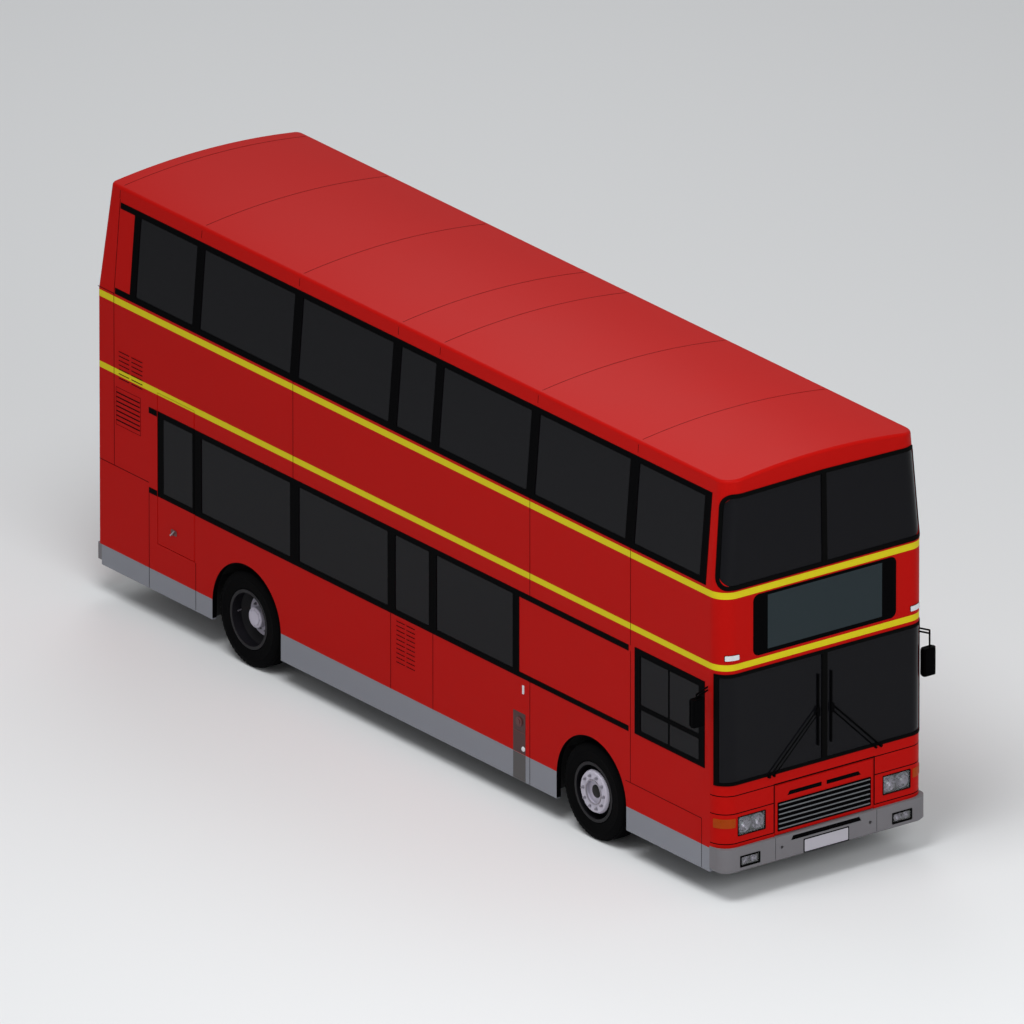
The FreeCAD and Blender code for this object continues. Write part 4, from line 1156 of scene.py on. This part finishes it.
def addOffsideFittings():
    plan = offsidePlan
    dark, hoods = bmesh.new(), bmesh.new()
    for columns, rows, lowest, pitch, height in plan["louvres"]:
        for x0, x1 in columns:
            for row in range(rows):
                louvreRow(dark, hoods, x0, x1, lowest + row * pitch, height)
    for edges in borders(*plan["louvreBox"], plan["seam"]):
        sideStrip(dark, -1, *edges, 0.001)
    newPiece("offsideVentSlots", dark, bandBlack)
    newPiece("offsideVentHoods", hoods, coachRed)


def addFiller():
    # a darker red patch on the red and a darker grey patch on the grey skirt over the filler area
    plan = offsidePlan
    for name, edges, paint in (("fillerDarkPatch", plan["filler"], fillerDarkRed),
                               ("fillerSkirtDarkPatch", plan["fillerLow"], fillerDarkGrey)):
        panel = bmesh.new()
        sideStrip(panel, -1, *edges, plan["proud"])
        newPiece(name, panel, paint)
    marks = bmesh.new()
    x, z, r = plan["fillerCap"]
    y = -sideY
    addRod(marks, (station(x), y + 0.001, z), (station(x), y - 0.010, z), r, sides=32)
    addRod(marks, (station(x), y - 0.009, z), (station(x), y - 0.016, z), r * 0.45, sides=24)
    sideStrip(marks, -1, plan["filler"][0], plan["filler"][1], plan["fillerLine"],
              plan["fillerLine"] + 0.008, 0.003)
    newPiece("fillerCap", marks, capMaroon, smooth=True)
    # white studs on the filler and a white strip above it: painted highlights where the light
    # glints, not lamps
    studs = bmesh.new()
    spun(studs, [(0.0, 0.027), (-0.008, 0.024), (-0.012, 0.012), (-0.013, 0.0)],
         (station(6.987), y, 0.60), steps=28)
    x0, x1, z0, z1 = plan["glintStrip"]
    sideStrip(studs, -1, x0, x1, z0, z1, 0.008, radius=0.006)
    newPiece("paintedHighlightMarks", studs, whiteLens, smooth=True)


def addDoorLever():
    # the emergency door's handle in its shallow cup
    x, z = offsidePlan["lever"]
    cup = bmesh.new()
    sideStrip(cup, -1, x - 0.05, x + 0.05, z - 0.03, z + 0.03, 0.0015, radius=0.02)
    newPiece("emergencyCup", cup, capMaroon, body="emergency_door_body")
    lever = bmesh.new()
    y = -sideY
    start = Vector((station(x - 0.03), y - 0.018, z - 0.03))
    end = Vector((station(x + 0.03), y - 0.022, z + 0.03))
    addRod(lever, (start.x, y, start.z), start + Vector((0, -0.006, 0)), 0.008)
    addRod(lever, start, end, 0.0065, sides=12)
    newPiece("emergencyLever", lever, brightMetal, body="emergency_door_body", smooth=True)


# darker copies of the coach red and the skirt grey, for the filler area
fillerDarkRed = finish("fillerDarkRed", (58, 14, 13), roughness=0.5, tone=0.1, bump=0.03)
capMaroon = finish("capMaroon", (84, 32, 32), roughness=0.45, tone=0.1, bump=0.02)
fillerDarkGrey = finish("fillerDarkGrey", (66, 64, 64), roughness=0.5, tone=0.1, bump=0.03)
brightMetal = finish("brightMetal", (168, 168, 172), roughness=0.3, tone=0.1, bump=0.05,
                     Metallic=0.8)
addOffsideFittings()
addFiller()
addDoorLever()
print("offside fittings ready")


# Rear end

rearPlan = dict(
    lamps=((1.11, 1.13, 0.048, "red"), (1.11, 1.01, 0.048, "amber"), (1.11, 0.89, 0.048, "red"),
           (1.11, 0.77, 0.042, "white")),
    window=(0.8, 1.56, 2.15), exitGlass=(0.52, 3.42, 3.99), exitBand=0.03,
    engineSlots=((-0.74, -0.10), (0.10, 0.74)), engineRows=9,
    engineLow=0.86, enginePitch=0.045, band=0.045, plate=(0.26, 0.64, 0.76),
    markers=((1.0, 2.6), (1.0, 4.12)),
)


def rearStrip(bm, y0, y1, z0, z1, thick, low=0.0, radius=0.0):
    plate(bm, rearPoint, y0, y1, z0, z1, thick, radius=radius, low=low)


def addTailLamps():
    plan = rearPlan
    kinds = {"red": (bmesh.new(), redLens), "amber": (bmesh.new(), amberLens),
             "white": (bmesh.new(), whiteLens)}
    rims = bmesh.new()
    for side in (-1, 1):
        for y, z, radius, kind in plan["lamps"]:
            centre = (tailX, side * y, z)
            spun(kinds[kind][0], [(0.004, 0.0), (-0.010, radius * 0.45), (-0.006, radius * 0.9),
                                  (0.004, radius - 0.003)], centre, steps=40, axis=(1, 0, 0))
            spun(rims, [(0.0, radius - 0.004), (-0.009, radius - 0.002), (-0.009, radius + 0.006),
                        (0.0, radius + 0.009)], centre, steps=40, axis=(1, 0, 0))
    for kind, (bm, material) in kinds.items():
        newPiece("tailLamp" + kind.title(), bm, material, smooth=True)
    newPiece("tailLampRims", rims, sealRubber, smooth=True)
    marks = bmesh.new()
    for y, z in plan["markers"]:
        for side in (-1, 1):
            rearStrip(marks, side * y - 0.045, side * y + 0.045, z - 0.018, z + 0.018, 0.012,
                      radius=0.012)
    newPiece("rearMarkers", marks, redLens, smooth=True)


def addRearFrames():
    plan = rearPlan
    band = plan["band"]
    half, low, high = plan["window"]
    ring = bmesh.new()
    ringFrame(ring, rearPoint, rectangle(-half, half, low, high, band), band + 0.006, 0.004,
              radius=0.07)
    newPiece("rearWindowRubber", ring, sealRubber, smooth=True)
    ring = bmesh.new()
    half, low, high = plan["exitGlass"]
    plate(ring, rearPoint, -half, half, low, high, 0.003, radius=0.06, low=-0.0035)
    newPiece("rearExitPane", ring, windowGlass, body="rear_exit_body")
    ring = bmesh.new()
    ringFrame(ring, rearPoint, rectangle(-half, half, low, high, plan["exitBand"]), 0.035,
              0.006, radius=0.08, low=-0.0035)
    newPiece("rearExitRubber", ring, sealRubber, body="rear_exit_body", smooth=True)
    grip = bmesh.new()
    for side in (-1, 1):
        a, b = (rearPoint(side * 0.22 + reach, 3.385, 0.02) for reach in (-0.07, 0.07))
        addRod(grip, a, b, 0.007)
        for end in (a, b):
            addRod(grip, end + Vector((0.022, 0, 0)), end, 0.006)
    newPiece("rearExitGrips", grip, brightMetal, body="rear_exit_body", smooth=True)


def addEngineDoor():
    plan = rearPlan
    dark, hoods = bmesh.new(), bmesh.new()
    for y0, y1 in plan["engineSlots"]:
        for row in range(plan["engineRows"]):
            z = plan["engineLow"] + row * plan["enginePitch"]
            rearStrip(dark, y0, y1, z, z + 0.014, 0.001, low=-0.002)
            rearStrip(hoods, y0 - 0.008, y1 + 0.008, z + 0.013, z + 0.026, 0.010, low=-0.002)
    newPiece("engineDoorSlots", dark, bandBlack, body="engine_door_body")
    newPiece("engineDoorHoods", hoods, coachRed, body="engine_door_body")
    half, z0, z1 = plan["plate"]
    number = bmesh.new()
    rearStrip(number, -half, half, z0, z1, 0.004, low=-0.002, radius=0.008)
    newPiece("rearPlate", number, plateWhite, body="engine_door_body", smooth=True)
    latches = bmesh.new()
    for side in (-1, 1):
        centre = Vector((tailX, side * 0.7, 0.72))
        addRod(latches, centre + Vector((0.003, 0, 0)), centre - Vector((0.008, 0, 0)), 0.022,
               sides=24)
        addRod(latches, centre - Vector((0.006, 0, 0)), centre - Vector((0.016, 0, 0)), 0.008)
    newPiece("engineDoorLatches", latches, brightMetal, body="engine_door_body", smooth=True)


def addRearBands():
    # joints between the rear panels
    seams = bmesh.new()
    for z in (1.44, 2.48):
        rearStrip(seams, -sideY + 0.03, sideY - 0.03, z, z + 0.004, 0.001)
    for y in (-0.98, 0.976):
        rearStrip(seams, y, y + 0.004, 0.54, 1.44, 0.001)
    newPiece("rearSeams", seams, sealRubber)


addTailLamps()
addRearFrames()
addEngineDoor()
addRearBands()
print("rear end ready")


# Saloon: padded seats, grab poles and step edges

seatPlan = dict(cushionLong=0.40, back=0.56, rowBack=0.54, padThick=0.075, backThick=0.055,
                gap=0.012, shell=0.012, rearDrop=0.022, lap=0.006, cuts=5, rowLong=0.34,
                driverBack=0.76, topInset=0.074, railInset=0.05)


def islandsOf(node):
    # bounds of each separate solid in a node
    bm = bmesh.new()
    bm.from_mesh(nodes[node].data)
    bmesh.ops.remove_doubles(bm, verts=bm.verts[:], dist=0.00005)
    bm.verts.index_update()
    seen, found = set(), []
    for first in bm.verts:
        if first.index in seen:
            continue
        seen.add(first.index)
        queue, group = [first], []
        while queue:
            vert = queue.pop()
            group.append(vert.co.copy())
            for edge in vert.link_edges:
                other = edge.other_vert(vert)
                if other.index not in seen:
                    seen.add(other.index)
                    queue.append(other)
        low = [min(co[i] for co in group) for i in range(3)]
        high = [max(co[i] for co in group) for i in range(3)]
        found.append((low, high))
    bm.free()
    return found


def addPad(bm, place):
    # crowned closed pad on a unit block: its sides pull in and its top swells
    part = bmesh.new()
    bmesh.ops.create_cube(part, size=1.0)
    bmesh.ops.subdivide_edges(part, edges=part.edges[:], cuts=seatPlan["cuts"],
                              use_grid_fill=True)
    for vert in part.verts:
        u, v, w = (2 * vert.co.x, 2 * vert.co.y, 2 * vert.co.z)
        pull = 0.035
        across = u * (1 - pull * (1 - v * v) * abs(u)) * (1 - 0.05 * w * w * abs(u) ** 3)
        along = v * (1 - pull * (1 - u * u) * abs(v)) * (1 - 0.05 * w * w * abs(v) ** 3)
        swell = (1 - abs(u) ** 5) * (1 - abs(v) ** 5)
        height = 0.62 * w + 0.38 * swell * max(w, 0.0)
        vert.co = Vector((0.5 + across / 2, 0.5 + along / 2, (height + 0.62) / 1.62))
    warp(part.verts, place)
    mergeInto(bm, part)


def addSeats():
    plan = seatPlan
    pads, backs, shells, legs, rails = (bmesh.new() for _ in range(5))
    drop, lap = plan["rearDrop"], plan["lap"]
    for low, high in islandsOf("seats"):
        length, width = high[0] - low[0], high[1] - low[1]
        driver = width < 0.5
        rise = plan["rowBack"] if length < 0.58 else plan["back"]
        rise = plan["driverBack"] if driver else rise
        seatTop, front, rear = high[2] - rise, high[0], low[0]
        cushionEnd = front - (plan["rowLong"] if rise == plan["rowBack"] else plan["cushionLong"])
        base = cushionEnd - lap
        lean = base - rear - plan["topInset"]
        places = 1 if width < 0.7 else 2
        for index in range(places):
            y0 = low[1] + width * index / places + plan["gap"]
            y1 = low[1] + width * (index + 1) / places - plan["gap"]

            def onCushion(u, v, w):
                return Vector((front + (cushionEnd - front) * v, y0 + (y1 - y0) * u,
                               seatTop - drop * v - plan["padThick"] * (1 - w)))

            def onBack(u, v, w):
                return Vector((base - lean * v - plan["backThick"] * (1 - w),
                               y0 + (y1 - y0) * u,
                               seatTop - drop + 0.012 + (rise + drop - 0.055) * v))

            def onShell(u, v, w):
                x = base - plan["backThick"] - lean * max(v - 0.13, 0.0) / 0.87
                return Vector((x - plan["shell"] * (1 - w), y0 - lap + (y1 - y0 + 2 * lap) * u,
                               seatTop - 0.085 + (rise + 0.08) * v))
            addPad(pads, onCushion)
            addPad(backs, onBack)
            shell = bmesh.new()
            bmesh.ops.create_cube(shell, size=1.0, matrix=Matrix.Translation((0.5, 0.5, 0.5)))
            warp(shell.verts, onShell)
            mergeInto(shells, shell)
            addBox(shells, (cushionEnd - 0.05, y0 - lap, seatTop - drop - 0.09),
                   (front - 0.012, y1 + lap, seatTop - drop - 0.072))
        middle = (low[1] + high[1]) / 2
        if driver:
            addRod(legs, (front - 0.25, middle, low[2]), (front - 0.25, middle, seatTop - 0.1),
                   0.1, sides=24)
            continue
        if abs(length - 0.60) < 0.01:
            addBox(legs, (front - 0.33, middle - 0.16, low[2] + 0.004),
                   (front - 0.20, middle + 0.16, seatTop - 0.108), bevel=0.012)
            addBox(legs, (front - 0.36, middle - 0.19, low[2]),
                   (front - 0.17, middle + 0.19, low[2] + 0.012), bevel=0.004)
        x, top, inset = rear + 0.02, high[2] - 0.02, plan["railInset"]
        for y in (low[1] + inset, high[1] - inset):
            addRod(rails, (x, y, top - 0.12), (x, y, top), 0.011, sides=8)
        addRod(rails, (x, low[1] + inset, top), (x, high[1] - inset, top), 0.013, sides=10)
    cushions = newPiece("seatCushions", pads, moquette, smooth=True)
    backrests = newPiece("seatBackrests", backs, moquette, smooth=True)
    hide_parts("seats")
    newPiece("seatShells", shells, moulding)
    newPiece("seatLegs", legs, chassisBlack)
    newPiece("seatRails", rails, handrail, smooth=True)


polePlan = dict(radius=0.016, lowerFloor=0.64, lowerCeiling=2.44, upperFloor=2.5, lowerY=0.345,
                upperY=0.315, lowerX=(4.35, 5.83, 7.31), upperX=(2.2, 4.42, 6.64, 8.86),
                flange=0.012, stepX0=8.69, going=0.24714, rise=0.2325, steps=7,
                stairY=(-1.19, -0.57), roofGap=0.062)


def addPoles():
    plan = polePlan
    poles = bmesh.new()
    r, flange = plan["radius"], plan["flange"]
    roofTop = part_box("roof")[1][2]
    floor, ceiling = plan["lowerFloor"], plan["lowerCeiling"]
    decks = [(plan["lowerX"], plan["lowerY"], floor, ceiling, (floor, ceiling - flange), 20.0),
             (plan["upperX"], plan["upperY"], plan["upperFloor"], roofTop - plan["roofGap"],
              (plan["upperFloor"],), 8.6)]
    for stations, y, low, high, flanges, stairEnd in decks:
        for along in stations:
            x = station(along)
            for side in (-1, 1):
                if side < 0 and 6.9 < along < stairEnd:
                    continue                     # the staircase is there
                addRod(poles, (x, side * y, low), (x, side * y, high), r, sides=12)
                for z in flanges:
                    addRod(poles, (x, side * y, z), (x, side * y, z + flange), r * 2.1, sides=16)
    newPiece("grabPoles", poles, handrail, smooth=True)


def addStepEdges():
    plan = polePlan
    edges = bmesh.new()
    low, high = plan["stairY"]
    for step in range(plan["steps"]):
        x = station(plan["stepX0"] - step * plan["going"])
        z = plan["lowerFloor"] + (step + 1) * plan["rise"]
        if z > 2.46:
            continue
        addBox(edges, (x - 0.045, low + 0.01, z), (x, high - 0.01, z + 0.0025))
    # platform, cab and rear floor edges
    for x, z, y0, y1 in ((plan["stepX0"] + 0.03, 0.64, -0.33, 1.19), (3.15, 0.90, -0.60, 0.33)):
        addBox(edges, (station(x) - 0.045, y0, z), (station(x), y1, z + 0.0025))
    newPiece("stepEdges", edges, handrail)


moquette = finish("seatMoquette", (44, 52, 92), roughness=0.9, tone=0.5, spread=0.3,
                  patchScale=26.0, grainScale=420.0, bump=0.4, grainDepth=0.0012,
                  Sheen_Weight=0.3, Specular_IOR_Level=0.1)
handrail = finish("handrailYellow", (206, 168, 24), roughness=0.4, tone=0.08, bump=0.05,
                  Specular_IOR_Level=0.3)
addSeats()
addPoles()
addStepEdges()
print("saloon fitted")


# Mirrors and nearside doors

mirrorPlan = dict(x=10.01, depth=0.03, outer=1.48, inner=1.335, heads=((1, 1.715), (-1, 1.855)),
                  height=0.29, rim=0.009)


def addMirrors():
    plan = mirrorPlan
    shells, glass = bmesh.new(), bmesh.new()
    for side, bottom in plan["heads"]:
        y0, y1 = sorted((side * plan["inner"], side * plan["outer"]))
        z0, z1 = bottom, bottom + plan["height"]
        rear = station(plan["x"] - plan["depth"])

        def onBack(y, z, w):
            return Vector((rear - w, y, z))

        onFront = square(station(plan["x"] + plan["depth"]))
        ringFrame(shells, onBack, rectangle(y0, y1, z0, z1, 0.004), plan["rim"] + 0.004, 0.012,
                  radius=0.028, low=-0.008)
        plate(glass, onBack, *within(y0, y1, z0, z1, plan["rim"] - 0.002), 0.0015, radius=0.02)
        plate(shells, onFront, *within(y0, y1, z0, z1, 0.012), 0.006, radius=0.02)
    newPiece("mirrorRims", shells, bandBlack, bevel=0.002)
    newPiece("mirrorGlass", glass, silvered)


doorPlan = dict(rear=(8.876, 9.417), front=(9.423, 9.964), outer=1.245, inner=1.205,
                pane=(0.472, 2.129), handle=(0.95, 1.55), stand=0.045, freeEdge=0.085,
                hingeEdge=0.065, rubber=0.028, cornerR=0.05, gripR=0.013, gripInset=0.034)


def addDoorFittings():
    plan = doorPlan
    for name, (x0, x1), body, freeEdge in (
            ("rear", plan["rear"], "rear_door_leaf_body", 1),
            ("front", plan["front"], "front_door_leaf_body", -1)):
        trim, grip = bmesh.new(), bmesh.new()
        free, hinged = plan["freeEdge"], plan["hingeEdge"]
        paneX = (x0 + free, x1 - hinged) if freeEdge > 0 else (x0 + hinged, x1 - free)
        for y, out in ((plan["outer"], 1), (plan["inner"], -1)):
            def onLeaf(x, z, w, y=y, out=out):
                return Vector((station(x), y + out * w, z))
            ringFrame(trim, onLeaf, rectangle(*paneX, *plan["pane"], 0.012), plan["rubber"],
                      0.0025, radius=plan["cornerR"])
        y = plan["inner"] - plan["stand"]
        x = x1 - plan["gripInset"] if freeEdge > 0 else x0 + plan["gripInset"]
        (z0, z1), r = plan["handle"], plan["gripR"]
        addRod(grip, (station(x), y, z0), (station(x), y, z1), r, sides=12)
        for z in (z0 + r, z1 - r):
            addRod(grip, (station(x), y - 0.006, z), (station(x), plan["inner"], z), 0.012,
                   sides=10)
        newPiece(name + "DoorRubber", trim, sealRubber, body=body)
        newPiece(name + "DoorGrip", grip, handrail, body=body, smooth=True)


silvered = finish("mirrorSilver", (200, 204, 208), roughness=0.05, tone=0.02, bump=0.0,
                  Metallic=1.0)
addMirrors()
addDoorFittings()
print("mirrors and doors fitted")
